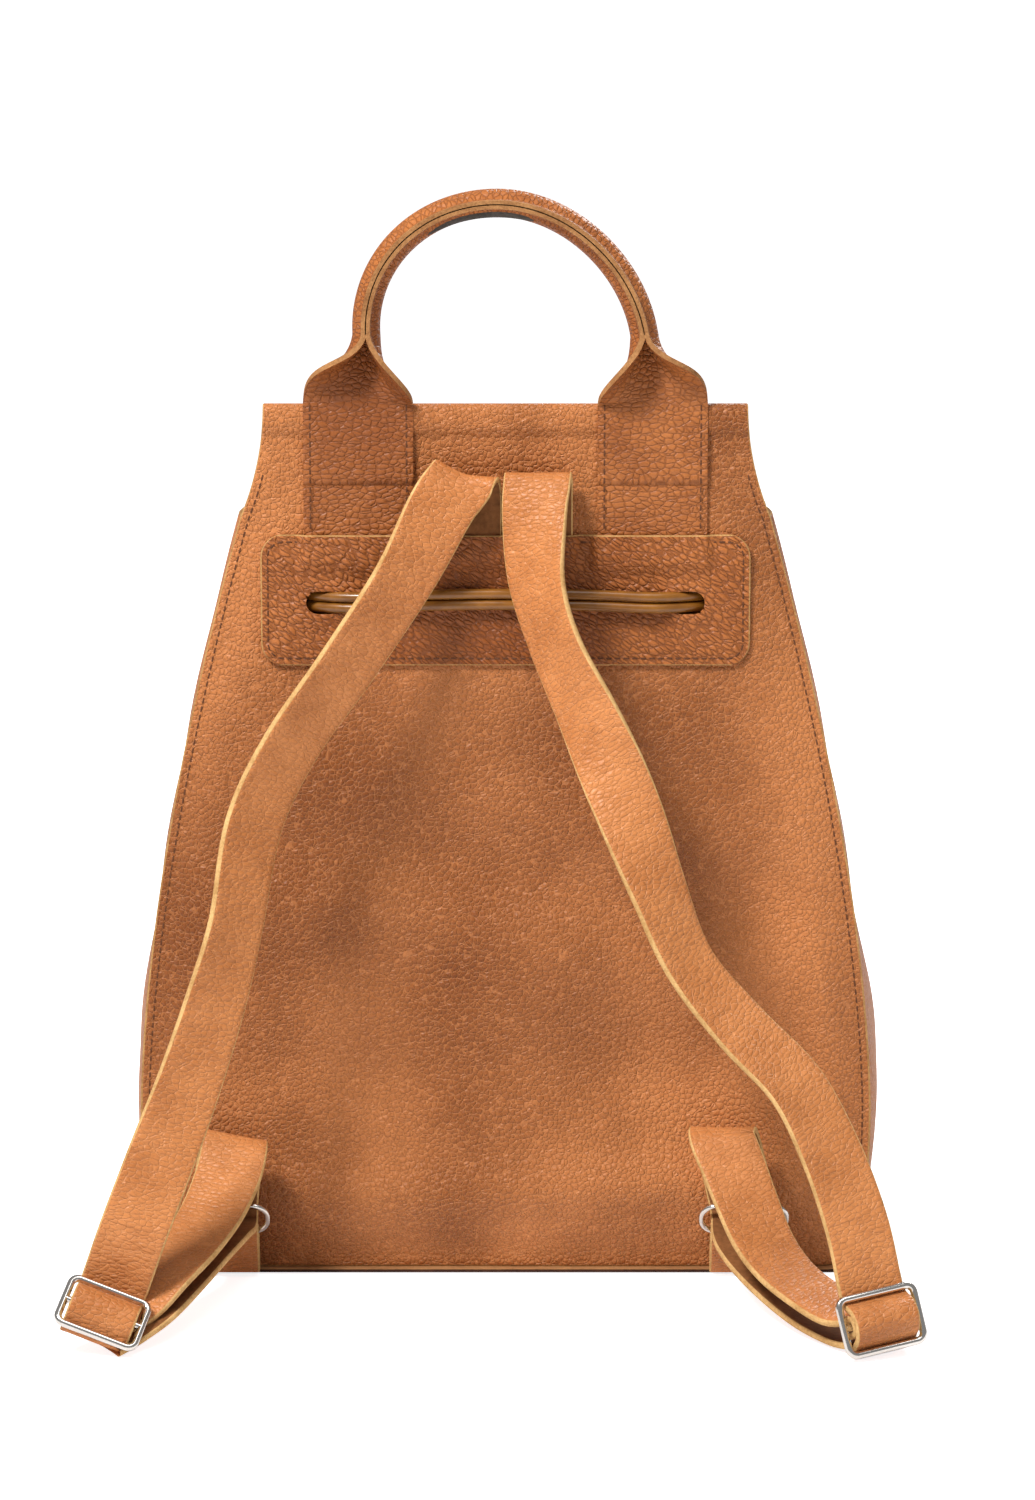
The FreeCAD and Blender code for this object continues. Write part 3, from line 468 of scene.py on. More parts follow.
def stitch_rows(name, rows, pitch=0.0036, length=0.0025, radius=0.00036):
    """Stitches along several lines. A row is its points (n, 3) and the way out of the leather.
    Each stitch is a small four-sided spindle laid along its line."""
    ends = np.array([-0.5, -0.36, 0.36, 0.5]) * length
    girth = np.array([0.35, 1.0, 1.0, 0.35]) * radius
    around = np.array([[1, 0], [0, 1], [-1, 0], [0, -1]], float)
    broad = (girth[:, None] * around[None, :, 0])[None, :, :, None]
    high = (girth[:, None] * around[None, :, 1] * 0.8)[None, :, :, None]
    ring = np.arange(3)[:, None] * 4 + np.arange(4)[None, :]
    nxt = np.arange(3)[:, None] * 4 + np.roll(np.arange(4), -1)[None, :]
    shell = np.stack([ring, nxt, nxt + 4, ring + 4], axis=-1).reshape(-1, 4)
    shell = np.concatenate([shell, [[3, 2, 1, 0], [12, 13, 14, 15]]])
    points, quads, total = [], [], 0
    for line, out in rows:
        reach = np.concatenate([[0], np.cumsum(np.linalg.norm(np.diff(line, axis=0), axis=1))])
        count = max(int(reach[-1] / pitch), 1)
        places = (np.arange(count) + 0.5) * reach[-1] / count
        before, centre, ahead = (np.stack([np.interp(places + step, reach, column) for column in line.T],
            axis=1) for step in (-0.0004, 0, 0.0004))
        along = ahead - before
        along /= np.linalg.norm(along, axis=1, keepdims=True)
        side = np.cross(out, along)
        side /= np.linalg.norm(side, axis=1, keepdims=True)
        up = np.cross(along, side)
        centre, along, side, up = (a[:, None, None, :] for a in (centre, along, side, up))
        solid = centre + along * ends[None, :, None, None] + side * broad + up * high
        points.append(solid.reshape(-1, 3))
        quads.append((shell[None, :, :] + 16 * np.arange(count)[:, None, None]).reshape(-1, 4) + total)
        total += 16 * count
    return mesh_object(name, np.concatenate(points), np.concatenate(quads), [thread], sharp_angle=80)


seam_inset, thread_lift = 0.0036, 0.0001


def side_seams(face, z, out):
    """The two lines of stitches inside a panel's side edges; out is 1 or -1, the face's way in y."""
    rows = []
    for sign in (-1, 1):
        x = sign * (half_width(z) - seam_inset)
        rows.append((np.stack([x, face(x, z) + out * thread_lift, z], axis=1), (sign * 0.2, out, 0)))
    return rows


seam_z = np.linspace(0.006, 0.345, 200)
back_stitches = stitch_rows("back_seam_stitches", side_seams(back_face, seam_z, -1))
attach(back_stitches, "bag")

# ---- gussets
# One strip of the same leather on each side. Its raw edges turn outwards and lie against the back
# and front panels' edges, where they are stitched; between them it bellies out.
flange, gusset_turn = 0.0055, 0.0036
for sign, side in ((1, "right"), (-1, "left")):
    rows_z = spaced(panel_foot, mouth_height, 0.0025)[:, None]
    across = np.concatenate([[0, edge_band / flange], np.linspace(0.25, 1, 5)])
    body = np.linspace(0, 1, 44)[1:-1]
    swell = 0.0050 if sign > 0 else 0.0030
    belly = 0.0015 + swell * bump(0.088, 0.045, rows_z) + 0.0025 * bump(0.03, 0.03, rows_z)
    w, d = half_width(rows_z), depth(rows_z)
    inner_x = w - flange
    near_y = BACK + gusset_turn * (1 - smoothstep(0.31, 0.34, rows_z)) + leather + 0.0002
    near_y = near_y + foot_turn * (1 - smoothstep(0.0, foot_reach, rows_z))
    far_y = BACK + d - leather - 0.0006
    first_x, first_y = w - flange * across, near_y + 0 * across
    crumple = 0.0006 * np.sin(rows_z * 90 + 9 * body) * np.sin(math.pi * body) * bump(0.16, 0.12, rows_z)
    middle_x = inner_x + (flange + belly) * np.sin(math.pi * body) ** 0.55 + crumple
    middle_y = near_y + (far_y - near_y) * (body - np.sin(2 * math.pi * body) * 0.03)
    last_x, last_y = first_x[:, ::-1], far_y + 0 * across
    gusset_x = sign * np.concatenate([first_x, middle_x, last_x], axis=1)
    gusset = grid_of(gusset_x, np.concatenate([first_y, middle_y, last_y], axis=1), rows_z)
    if sign < 0:
        gusset = gusset[:, ::-1]
    piece = wall(side + "_gusset", gusset, leather, leather_layers)
    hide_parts(side + "_gusset")
    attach(piece, "bag")

# ---- front panel
# The same leather on the flap's side, raw-edged and stitched like the back panel, up to the mouth.
front_hole_x = 0.030


def front_face(x, z):
    """y of the front panel's outer face: the bag's depth, rounding back towards its side edges."""
    from_edge = half_width(z) - np.abs(x)
    turn = edge_turn * (1 - smoothstep(0.0, turn_reach, from_edge))
    swell = 0.0022 * np.cos(x * 11) * bump(0.11, 0.07, z)
    swell = swell + 0.0012 * np.sin(z * 70 + 2 * np.sin(x * 20)) * bump(0.13, 0.05, z)
    return BACK + depth(z) - turn + swell


def front_hole_distance(x, z):
    """Signed distance to the nearer of the front panel's cord holes, negative inside."""
    return cord_hole_distance(x, z, front_hole_x)


front_z = np.repeat(spaced(panel_foot, mouth_height, panel_pitch)[:, None], cols_u.shape[1], axis=1)
front_x = -cols_u * half_width(front_z)
front_x, front_z = snap_to(front_x, front_z, front_hole_distance, snap_reach)
front = np.stack([front_x, front_face(front_x, front_z), front_z], axis=-1)
front_panel = wall("front_panel", front, leather, leather_layers, off_holes(front, front_hole_distance))
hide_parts("front_panel")
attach(front_panel, "bag")
front_rows = side_seams(front_face, np.linspace(0.006, mouth_height - 0.006, 180), 1)
mouth_x = np.linspace(-0.100, 0.100, 90)
mouth_z = np.full(90, mouth_height - 0.007)
mouth_row = np.stack([mouth_x, front_face(mouth_x, mouth_z) + thread_lift, mouth_z], axis=1)
front_stitches = stitch_rows("front_seam_stitches", front_rows + [(mouth_row, (0, 1, 0))])
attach(front_stitches, "bag")

# ---- base
# A flat piece of the same leather. The panels and gussets stand on it, and its cut edge shows
# all round as a thin line, painted near black as the shade beneath the bag.
base_radius, base_bottom = 0.016, 0.0003
base_x_half, base_y_half = base_half + 0.0005, base_depth / 2 - 0.0012
base_x, base_y = rounded_grid(base_x_half, base_y_half, base_radius, 0.003)
base = grid_of(base_x, base_y, base_bottom)[:, ::-1]
# The base's cut edge is painted near black: painted shade for the shadow under the bag.
base_edge_shade = fibre_finish("base edge", (0.07, 0.026, 0.012), (0.03, 0.011, 0.006))
base_panel = wall("base_panel", base, leather, [body_leather, base_edge_shade, flesh_side])
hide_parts("base_panel")
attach(base_panel, "bag")

# ---- patch
# A rounded rectangle of coarser leather, stitched over the handle tabs and the straps' ends. The
# drawstring goes through a hole near each end.
patch_half_x, patch_low, patch_high, patch_radius = 0.102, 0.2645, 0.3195, 0.0095
patch_mid = (patch_low + patch_high) / 2
tab_x = 0.061
patch_half_z = (patch_high - patch_low) / 2
# Its spot of painted shade darkens the patch's middle, in the shadow of the straps.
patch_leather = leather_finish("patch leather", (0.52, 0.172, 0.045), (0.28, 0.076, 0.015),
    (0.12, 0.030, 0.006), cell=0.0021, relief=0.0010, painted_shade=(((0.0, -0.066, 0.285), 0.075, 0.9),),
    crease_share=0.5, stretch=(1.9, 1.0, 0.85), turn=33, gap_width=0.2)


def patch_hole_distance(x, z):
    """Signed distance to the patch's cord holes, which are drawn tighter than the panel's."""
    return cord_hole_distance(x, z, tighter=0.0010)


def patch_face(x, z):
    """y of the patch's outer face: drawn down along its stitching, lifted round the holes, and
    lifted along its top where the tabs and the straps' ends lie under it."""
    inside = np.minimum(patch_half_x - np.abs(x), patch_half_z - np.abs(z - patch_mid))
    pillow = 0.0005 * smoothstep(0.0028, 0.009, inside)
    lip = 0.0008 * bump(0.0, 0.004, np.maximum(cord_hole_distance(x, z), 0))
    over_tab = 1 - smoothstep(0.0215, 0.0265, np.abs(np.abs(x) - tab_x))
    over_straps = 1 - smoothstep(0.0265, 0.0315, np.abs(x))
    lift = 0.0023 * over_tab * smoothstep(0.300, 0.309, z)
    lift = lift + 0.0027 * over_straps * smoothstep(0.302, 0.311, z)
    return BACK - leather - 0.0001 - pillow - lip - lift


patch_x, patch_z = rounded_grid(patch_half_x, patch_half_z, patch_radius, 0.0009)
patch_x, patch_z = snap_to(patch_x, patch_z + patch_mid, patch_hole_distance, 0.0008)
patch = np.stack([patch_x, patch_face(patch_x, patch_z), patch_z], axis=-1)
back_patch = wall("back_patch", patch, leather, [patch_leather, raw_edge, flesh_side],
    off_holes(patch, patch_hole_distance))
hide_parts("back_patch")
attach(back_patch, "bag")

corner_turn = np.linspace(0, math.pi / 2, 12)
inset_radius = patch_radius - 0.0030
corner_x, corner_z = patch_half_x - patch_radius, patch_half_z - patch_radius
loop_x = np.concatenate([corner_x + inset_radius * np.cos(corner_turn),
    -corner_x - inset_radius * np.sin(corner_turn)])
loop_x = np.concatenate([loop_x, -loop_x, loop_x[:1]])
loop_z = np.concatenate([corner_z + inset_radius * np.sin(corner_turn),
    corner_z + inset_radius * np.cos(corner_turn)])
loop_z = patch_mid + np.concatenate([loop_z, -loop_z, loop_z[:1]])
patch_row = np.stack([loop_x, patch_face(loop_x, loop_z) - thread_lift, loop_z], axis=1)
patch_stitches = stitch_rows("patch_stitches", [(patch_row, (0, -1, 0))])
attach(patch_stitches, "bag")

# ---- handle
# One strip of two leathers glued back to back, 46 mm wide. Each end lies flat under the patch as a
# tab, stitched along its sides; above the rim its edges fold forward, meet, and close the strip
# into a grip round a filler cord.
strip_half, strip_thick = 0.0228, 0.0024
pinch = (0.0573, 0.4025)
arch_rise, arch_sway = 0.0545, 0.0035
curl_starts = 0.3775


def strip_section(closed):
    """Half of the strip's cross-section, by adding up small steps along a bending direction. The
    direction turns through closed times 146 degrees round the core, then back to 90 for the lip.
    The closed section is squeezed by a tenth."""
    share = np.linspace(0, 1, 25)
    peak = math.radians(146)
    to_lip = peak + (math.pi / 2 - peak) * smoothstep(0.72, 0.86, share)
    angle = closed[:, None] * np.where(share < 0.72, peak * share / 0.72, to_lip)[None, :]
    middle = (angle[:, 1:] + angle[:, :-1]) / 2
    pace = strip_half / 24
    zero = np.zeros((len(closed), 1))
    out = np.concatenate([zero, np.cumsum(np.cos(middle) * pace, axis=1)], axis=1)
    forward = np.concatenate([zero, np.cumsum(-np.sin(middle) * pace, axis=1)], axis=1)
    return out * (1 - 0.10 * closed[:, None]), forward


tab_end, layer_end = 0.3050, 0.3420
leg_z = np.concatenate([spaced(tab_end, layer_end - 0.0005, 0.0022),
    spaced(layer_end, curl_starts, 0.0022), np.linspace(curl_starts, pinch[1], 22)[1:]])
fold = smoothstep(curl_starts - 0.004, pinch[1] + 0.002, leg_z)
leg_x = -(tab_x + (pinch[0] - tab_x) * fold)
arch_turn = np.linspace(math.pi, 0, 110)[1:-1]
arch_x = pinch[0] * np.cos(arch_turn) - arch_sway * np.sin(arch_turn)
arch_x = arch_x - 0.0022 * np.maximum(np.sin(2 * arch_turn), 0)
arch_z = pinch[1] + arch_rise * np.sin(arch_turn)
path_x = np.concatenate([leg_x, arch_x, -leg_x[::-1]])
path_z = np.concatenate([leg_z, arch_z, leg_z[::-1]])
closed = np.concatenate([fold, np.ones(len(arch_x)), fold[::-1]])
covered = leg_z < layer_end - 0.0002
under = np.concatenate([covered, np.zeros(len(arch_x), bool), covered[::-1]])
path_y = BACK - 0.0001 + 0.0050 * closed ** 1.5 + np.where(under, 0.0008, 0.0)
way_x, way_z = np.gradient(path_x), np.gradient(path_z)
way = np.hypot(way_x, way_z)
way_x, way_z = way_x / way, way_z / way
out, forward = strip_section(closed)
out = np.concatenate([-out[:, :0:-1], out], axis=1)
forward = np.concatenate([forward[:, :0:-1], forward], axis=1)
strip = np.stack([path_x[:, None] - way_z[:, None] * out, path_y[:, None] + forward,
    path_z[:, None] + way_x[:, None] * out], axis=-1)
strip_uv = np.stack(np.broadcast_arrays(np.linspace(-strip_half, strip_half, 49),
    np.cumsum(way)[:, None]), axis=-1)
# Its spot of painted shade darkens the left tab, which lies in shade under the pinch.
handle_leather = leather_finish("handle leather", (0.52, 0.178, 0.048), (0.26, 0.072, 0.015),
    (0.14, 0.036, 0.008), cell=0.0020, relief=0.0007, crease_share=0.42, stretch=(1.7, 1.0, 1.0),
    painted_shade=(((0.0, 0.07, 0.0), 0.06, 0.9),), follows_surface=True)
lip_edge = fibre_finish("handle cut edge", (0.46, 0.225, 0.085), (0.22, 0.090, 0.030))
handle = wall("handle", strip, strip_thick, [handle_leather, lip_edge, handle_leather], dip=0.0002,
    uv=strip_uv)
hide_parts("handle", "left_handle_tab", "right_handle_tab")
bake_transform(handle)
tab_rows = []
side_z, side_y = np.linspace(0.3215, 0.3745, 30), np.full(30, BACK - strip_thick - 0.0002)
for sign in (-1, 1):
    for edge in (-1, 1):
        side_x = np.full(30, sign * tab_x + edge * (strip_half - 0.0028))
        tab_rows.append((np.stack([side_x, side_y, side_z], axis=1), (0, -1, 0)))
tab_stitches = stitch_rows("handle_tab_stitches", tab_rows)
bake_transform(tab_stitches)


def dress(finish, *names):
    """Gives a finish to CAD nodes that are kept as they are."""
    for name in names:
        nodes[name].data.materials.clear()
        nodes[name].data.materials.append(finish)


dress(fibre_finish("filler cord", (0.10, 0.09, 0.08), (0.05, 0.045, 0.04)), "handle_core")

# ---- sliders
# A slider on each strap: a flat frame of polished nickel wire, 3.2 mm thick, with a middle bar.
nickel, nickel_tree, nickel_places = new_finish("polished nickel")
scuff = noise(nickel_tree, nickel_places["Object"], 400.0, 3.0)
nickel_gloss = ranged(nickel_tree, scuff, onto=(0.08, 0.24))
close_solid(nickel_tree, (0.74, 0.71, 0.67, 1), nickel_gloss, {"Metallic": 1.0})


def unit(vector):
    """A vector's direction."""
    return np.asarray(vector, float) / np.linalg.norm(vector)


def wire_points(path, plane_normal, radius, sides, round_trip):
    """A tube round a flat path: at each place, a circle in the plane of the path's side direction
    and the plane's normal. Returns its points and quads; a round trip joins the ends."""
    if round_trip:
        way = np.roll(path, -1, axis=0) - np.roll(path, 1, axis=0)
    else:
        way = np.gradient(path, axis=0)
    way /= np.linalg.norm(way, axis=1, keepdims=True)
    side = np.cross(way, plane_normal)
    turn = np.linspace(0, 2 * math.pi, sides, endpoint=False)[None, :, None]
    points = path[:, None, :] + radius * np.cos(turn) * side[:, None, :]
    points = points + radius * np.sin(turn) * np.asarray(plane_normal)
    rows = len(path) if round_trip else len(path) - 1
    first = np.arange(rows)[:, None] * sides
    a, b = first + np.arange(sides), first + np.roll(np.arange(sides), -1)
    total = len(path) * sides
    quads = np.stack([a, (a + sides) % total, (b + sides) % total, b], axis=-1)
    return points.reshape(-1, 3), quads.reshape(-1, 4)


def rounded_loop(centre, across, up, half_across, half_up, radius):
    """A closed rectangle with rounded corners, in the plane of across and up."""
    turn = np.linspace(0, math.pi / 2, 9)
    corner = np.stack([half_across - radius + radius * np.cos(turn),
        half_up - radius + radius * np.sin(turn)], axis=1)
    flat = np.concatenate([corner, corner[::-1] * (-1, 1), corner * (-1, -1), corner[::-1] * (1, -1)])
    return np.asarray(centre) + flat[:, :1] * across + flat[:, 1:] * up


def place(x, y, z):
    """A point given in millimetres from the back panel's face, in metres in the frame."""
    return np.array([x / 1000, y / 1000 + BACK, z / 1000])


slider_place = {"left": (place(-163, -109, 16.5), (0.93, -0.05, -0.36), (0.23, 0.78, 0.58)),
    "right": (place(152, -116, 15.5), (0.93, 0.35, 0.12), (-0.23, 0.28, 0.93))}
slider_half, bar_pitch, bar_radius, slider_corner = 0.0166, 0.0114, 0.0016, 0.0034


def slider_axes(side):
    """The slider's centre and its directions: along its bars, up the strap, and outwards."""
    centre, bars, up = slider_place[side]
    bars = unit(bars)
    up = unit(np.asarray(up) - np.dot(up, bars) * bars)
    return centre, bars, up, np.cross(bars, up)


for side in ("left", "right"):
    centre, bars, up, outwards = slider_axes(side)
    frame_line = rounded_loop(centre, bars, up, slider_half, bar_pitch, slider_corner)
    frame_points, frame_quads = wire_points(frame_line, outwards, bar_radius, 12, True)
    middle_path = centre + np.linspace(-slider_half, slider_half, 5)[:, None] * bars
    bar_points, bar_quads = wire_points(middle_path, outwards, bar_radius * 0.95, 12, False)
    slider = mesh_object(side + "_slider", np.concatenate([frame_points, bar_points]),
        np.concatenate([frame_quads, bar_quads + len(frame_points)]), [nickel], sharp_angle=80)
    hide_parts(side + "_slider")
    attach(slider, side + "_slider")

# ---- rings and their tabs
# An oblong ring of nickel wire at each lower corner, held by a folded tab of strap leather that is
# sewn into the base seam.
ring_low = {"left": place(-119, -9.5, 22), "right": place(101, -9.5, 22)}
ring_pitch, ring_half, ring_corner, ring_wire = 0.015, 0.018, 0.0065, 0.00125
ring_lean = math.radians(30)
ring_up = np.array([0, -math.sin(ring_lean), math.cos(ring_lean)])
strap_leather = leather_finish("strap leather", (0.68, 0.262, 0.085), (0.40, 0.128, 0.032),
    (0.78, 0.34, 0.13), cell=0.0018, relief=0.0006, crease_share=0.3, stretch=(1.75, 1.0, 1.0), turn=-8,
    follows_surface=True, wrinkles=1.1, roughness=0.38, gap_width=0.12)
strap_flesh = fibre_finish("strap flesh side", (0.30, 0.12, 0.04), (0.17, 0.065, 0.02), 500.0)
strap_edge = fibre_finish("strap cut edge", (0.76, 0.48, 0.20), (0.48, 0.26, 0.09))


def band_profile(width, thickness):
    """A strap's cross-section: a grain face with eased edges, two cut edges and a flesh face."""
    half, rise = width / 2, thickness / 2
    across = np.linspace(-half + 0.0007, half - 0.0007, 15)
    face = np.stack([across, np.full(15, rise)], axis=1)
    edge = np.array([[half - 0.00015, rise - 0.00045], [half, 0.0], [half - 0.00015, -rise + 0.00045]])
    return np.concatenate([face, edge, face[::-1] * (1, -1), edge[::-1] * (-1, 1)])


def carried_band(name, centre, across, width, thickness, finishes):
    """A strap carried along its centre line. The normal is the way crossed with the width's
    direction; each cross-section is the profile laid out along those two."""
    way = np.gradient(centre, axis=0)
    way /= np.linalg.norm(way, axis=1, keepdims=True)
    across = across - np.sum(across * way, axis=1, keepdims=True) * way
    across /= np.linalg.norm(across, axis=1, keepdims=True)
    normal = np.cross(way, across)
    profile = band_profile(width, thickness)
    count, rows = len(profile), len(centre)
    points = (centre[:, None, :] + profile[None, :, :1] * across[:, None, :]
        + profile[None, :, 1:] * normal[:, None, :])
    column = np.arange(count)
    follow = np.roll(column, -1)
    first = np.arange(rows - 1)[:, None] * count
    quads = np.stack([first + column, first + follow, first + count + follow, first + count + column],
        axis=-1)[:, :, ::-1]
    # Points 0 to 14 are the grain face, 18 to 32 the flesh face, and the others the cut edges.
    kind = np.full(count, 1)
    kind[:14] = 0
    kind[18:32] = 2
    index = np.broadcast_to(kind, (rows - 1, count)).ravel()
    half = np.arange(15)
    caps = []
    for row, order in ((0, 1), (rows - 1, -1)):
        upper, lower = row * count + half, row * count + 32 - half
        caps.append(np.stack([upper[:-1], upper[1:], lower[1:], lower[:-1]], axis=1)[:, ::order])
        caps.append((row * count + np.array([[0, 32, 33, 35], [14, 15, 17, 18]]))[:, ::order])
    caps = np.concatenate(caps)
    reach = np.concatenate([[0], np.cumsum(np.linalg.norm(np.diff(centre, axis=0), axis=1))])
    uv = np.stack(np.broadcast_arrays(profile[:, 0], reach[:, None]), axis=-1).reshape(-1, 2)
    return mesh_object(name, points.reshape(-1, 3), np.concatenate([quads.reshape(-1, 4), caps]), finishes,
        np.concatenate([index, np.full(len(caps), 1)]), uv, sharp_angle=60)


def through(stations, steps):
    """A smooth line through stations, as cubic spans whose slopes come from the neighbours."""
    stations = np.asarray(stations, float)
    ends = np.concatenate([stations[:1], stations, stations[-1:]])
    a, b, c, d = ends[:-3, None], ends[1:-2, None], ends[2:-1, None], ends[3:, None]
    t = (np.arange(steps) / steps)[None, :, None]
    rows = 0.5 * (2 * b + (c - a) * t + (2 * a - 5 * b + 4 * c - d) * t ** 2
        + (3 * b - a - 3 * c + d) * t ** 3)
    return np.concatenate([rows.reshape(-1, stations.shape[1]), stations[-1:]])


tab_thick, tab_width = 0.0018, 0.028
strap_finishes = [strap_leather, strap_edge, strap_flesh]
x_axis = np.array([1.0, 0, 0])
for side in ("left", "right"):
    low = ring_low[side]
    ring_line = rounded_loop(low + ring_up * ring_pitch / 2, x_axis, ring_up, ring_half,
        ring_pitch / 2, ring_corner)
    ring_points, ring_quads = wire_points(ring_line, np.cross(x_axis, ring_up), ring_wire, 12, True)
    ring = mesh_object(side + "_ring", ring_points, ring_quads, [nickel], sharp_angle=80)
    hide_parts(side + "_ring")
    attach(ring, side + "_ring")
    ring_x = low[0] * 1000
    tab_line = through([place(ring_x, y, z) for y, z in ((-0.9, 2.5), (-1.1, 8.0), (-4.0, 15.5),
        (-7.05, 21.8), (-7.8, 23.9), (-9.5, 24.5), (-11.3, 23.9), (-11.95, 21.9), (-10.8, 17.0),
        (-7.0, 10.0), (-3.4, 2.5))], 6)
    tab = carried_band(side + "_ring_tab", tab_line, np.broadcast_to(x_axis, tab_line.shape), tab_width,
        tab_thick, strap_finishes)
    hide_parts(side + "_ring_tab")
    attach(tab, "bag")

# ---- shoulder straps
# Two straps of 2.8 mm leather, 28 mm wide, with raw edges. Each starts under the patch, folds over
# and hangs to its slider, passes over the slider's middle bar and behind its low bar, goes back
# through the ring, folds, and returns to the slider, where its end is fixed round the middle bar.
# One list runs from the patch over the fold to the slider, the other from the slider's low bar
# through the ring and back up. A place is x, y, z in mm, then the turn of its face and the dip of
# its right edge in degrees.
to_slider = {"left": [
    (-15.5, -1.6, 311, 0, 0), (-15.5, -2.0, 323, 0, 0), (-15.5, -2.6, 334, 0, 2),
    (-15.8, -4.9, 341, 0, 8), (-16.8, -8.5, 344.5, 0, 15), (-20, -12.5, 341.5, 2, 22),
    (-27, -17, 332, 8, 28), (-42, -26, 304, 30, 25), (-65, -36, 270, 34, 20), (-88, -45, 238, 37, 16),
    (-103, -55, 207, 38, 10), (-110, -66, 168, 42, 6), (-118, -75, 138, 32, 10),
    (-129, -85, 105, 22, 14), (-141, -94, 74, 6, 18), (-151, -100, 48, 0, 20)], "right": [
    (14, -1.6, 311, 0, 0), (14, -2.0, 323, 0, 0), (14, -2.6, 335, 0, 0), (14, -4.9, 342, 0, 0),
    (13.5, -8.5, 345, 0, 0), (13, -13, 342, -6, 0), (12, -18, 329, -20, 0), (13, -26, 303, -38, 0),
    (21, -34, 277, -42, -8), (35, -43, 248, -26, -16), (50, -53, 214, 12, -16), (62, -62, 183, 38, -12),
    (75, -70, 153, 50, -14), (96, -79, 128, 50, -24), (118, -87, 106, 44, -22), (132, -95, 80, 32, -14),
    (142, -103, 53, 24, -10)]}
to_end = {"left": [
    (-165.8, -110.6, 6.7, -9, 18), (-157.5, -102, 7.5, -24, 8), (-147, -89, 10.5, -30, 0),
    (-137, -72, 17.5, -26, 0), (-128, -54, 24.5, -18, 0), (-121.5, -37, 28.0, -8, 0),
    (-119, -25, 27.5, 0, 0), (-119, -13.5, 28.7, 0, 0), (-119, -9.0, 36.0, 0, 0),
    (-118, -8.5, 46.0, 0, 4), (-116, -11.0, 57.0, 0, 8), (-115, -16.5, 64.5, 0, 11),
    (-114, -24.0, 64.0, -4, 12), (-116, -35, 54.0, -12, 10), (-122, -51, 42.0, -22, 6),
    (-131, -68, 32.0, -28, 3), (-141, -83, 25.0, -30, 6), (-153, -92.5, 16.2, -22, 14)], "right": [
    (151, -108, 3.6, 24, 0), (142, -97, 3.0, 30, 0), (130, -81, 5.0, 32, 0), (119, -64, 9.5, 28, 0),
    (109, -46, 15.5, 20, 0), (103, -32, 21.0, 8, 0), (101, -23, 24.5, 0, 0), (101, -13.5, 28.7, 0, 0),
    (100, -9.0, 36.0, 0, 0), (97, -8.5, 49.0, 0, 0), (94, -11.5, 61.0, 0, 0), (92, -17.5, 68.0, 0, 0),
    (91, -24.5, 67.0, 2, 0), (95, -33, 58.0, 8, 0), (100.5, -45, 45.0, 16, 0), (107, -60, 32.0, 24, 0),
    (116, -75, 23.0, 28, 0), (128, -91, 17.5, 28, -2), (139, -103, 15.0, 24, -6)]}
strap_width, strap_thick = 0.028, 0.0028


def turned(rows):
    """Places with their width's direction worked out from its turn and dip."""
    rows = np.asarray(rows, float)
    turn, dip = np.radians(rows[:, 3]), np.radians(rows[:, 4])
    return np.stack([rows[:, 0] / 1000, rows[:, 1] / 1000 + BACK, rows[:, 2] / 1000,
        np.cos(turn) * np.cos(dip), np.sin(turn) * np.cos(dip), -np.sin(dip)], axis=1)


for side in ("left", "right"):
    centre, bars, up, outwards = slider_axes(side)
    # How far the strap's middle lies from a bar's, first against it and then over that layer.
    hook = bar_radius + 0.0003 + strap_thick / 2
    bow = hook + strap_thick + 0.0003
    gap = (bow + bar_pitch) / 2 - 0.0012

    def by_slider(steps):
        """Places given up the strap and outwards from the slider's centre."""
        steps = np.asarray(steps)
        points = centre + steps[:, :1] * up + steps[:, 1:] * outwards
        return np.concatenate([points, np.broadcast_to(bars, points.shape)], axis=1)

    over = by_slider([(bar_pitch + 0.005, -hook), (bar_pitch - 0.0005, -hook), (gap, -0.0006),
        (bow * 0.8, bow * 0.62), (0, bow), (-bow * 0.8, bow * 0.62), (-gap, -0.0006),
        (-bar_pitch + 0.0014, -hook - 0.0011)])
    end = by_slider([(hook + 0.0006, -0.007), (hook, -0.001), (hook * 0.75, hook * 0.75), (0, hook),
        (-hook * 0.75, hook * 0.75), (-hook, -0.001), (-hook - 0.0002, -0.008)])
    line = through(np.concatenate([turned(to_slider[side]), over, turned(to_end[side]), end]), 7)
    strap = carried_band(side + "_shoulder_strap", line[:, :3], line[:, 3:], strap_width, strap_thick,
        strap_finishes)
    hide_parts(side + "_shoulder_strap")
    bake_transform(strap)

# ---- drawstring
# A leather cord, 4.4 mm thick, folded and seamed along its length. It goes twice round the mouth,
# out through the patch's holes and across the patch, and its tails leave by two holes in the front.
lace, lace_tree, lace_places = new_finish("drawstring leather")
lace_tone = noise(lace_tree, lace_places["Object"], 130.0, 3.0)
lace_colour = mix(lace_tree, lace_tone, (0.11, 0.033, 0.003, 1), (0.38, 0.150, 0.018, 1))
close_solid(lace_tree, lace_colour, 0.28, {"Normal": raised(lace_tree, lace_tone, 0.6, 0.0003),
    "Coat Weight": 0.15, "Coat Roughness": 0.15})
cord_radius = 0.0022


def cord_curve(name, route):
    """A smooth cord whose middle follows the route's points."""
    curve = bpy.data.curves.new(name, "CURVE")
    curve.dimensions = "3D"
    curve.bevel_depth = cord_radius
    curve.bevel_resolution = 4
    curve.use_fill_caps = True
    spline = curve.splines.new("NURBS")
    spline.points.add(len(route) - 1)
    spline.points.foreach_set("co", np.column_stack([np.asarray(route), np.ones(len(route))]).ravel())
    spline.order_u = 3
    spline.use_endpoint_u = True
    spline.resolution_u = 8
    curve.materials.append(lace)
    piece = bpy.data.objects.new(name, curve)
    bpy.context.scene.collection.objects.link(piece)
    return piece


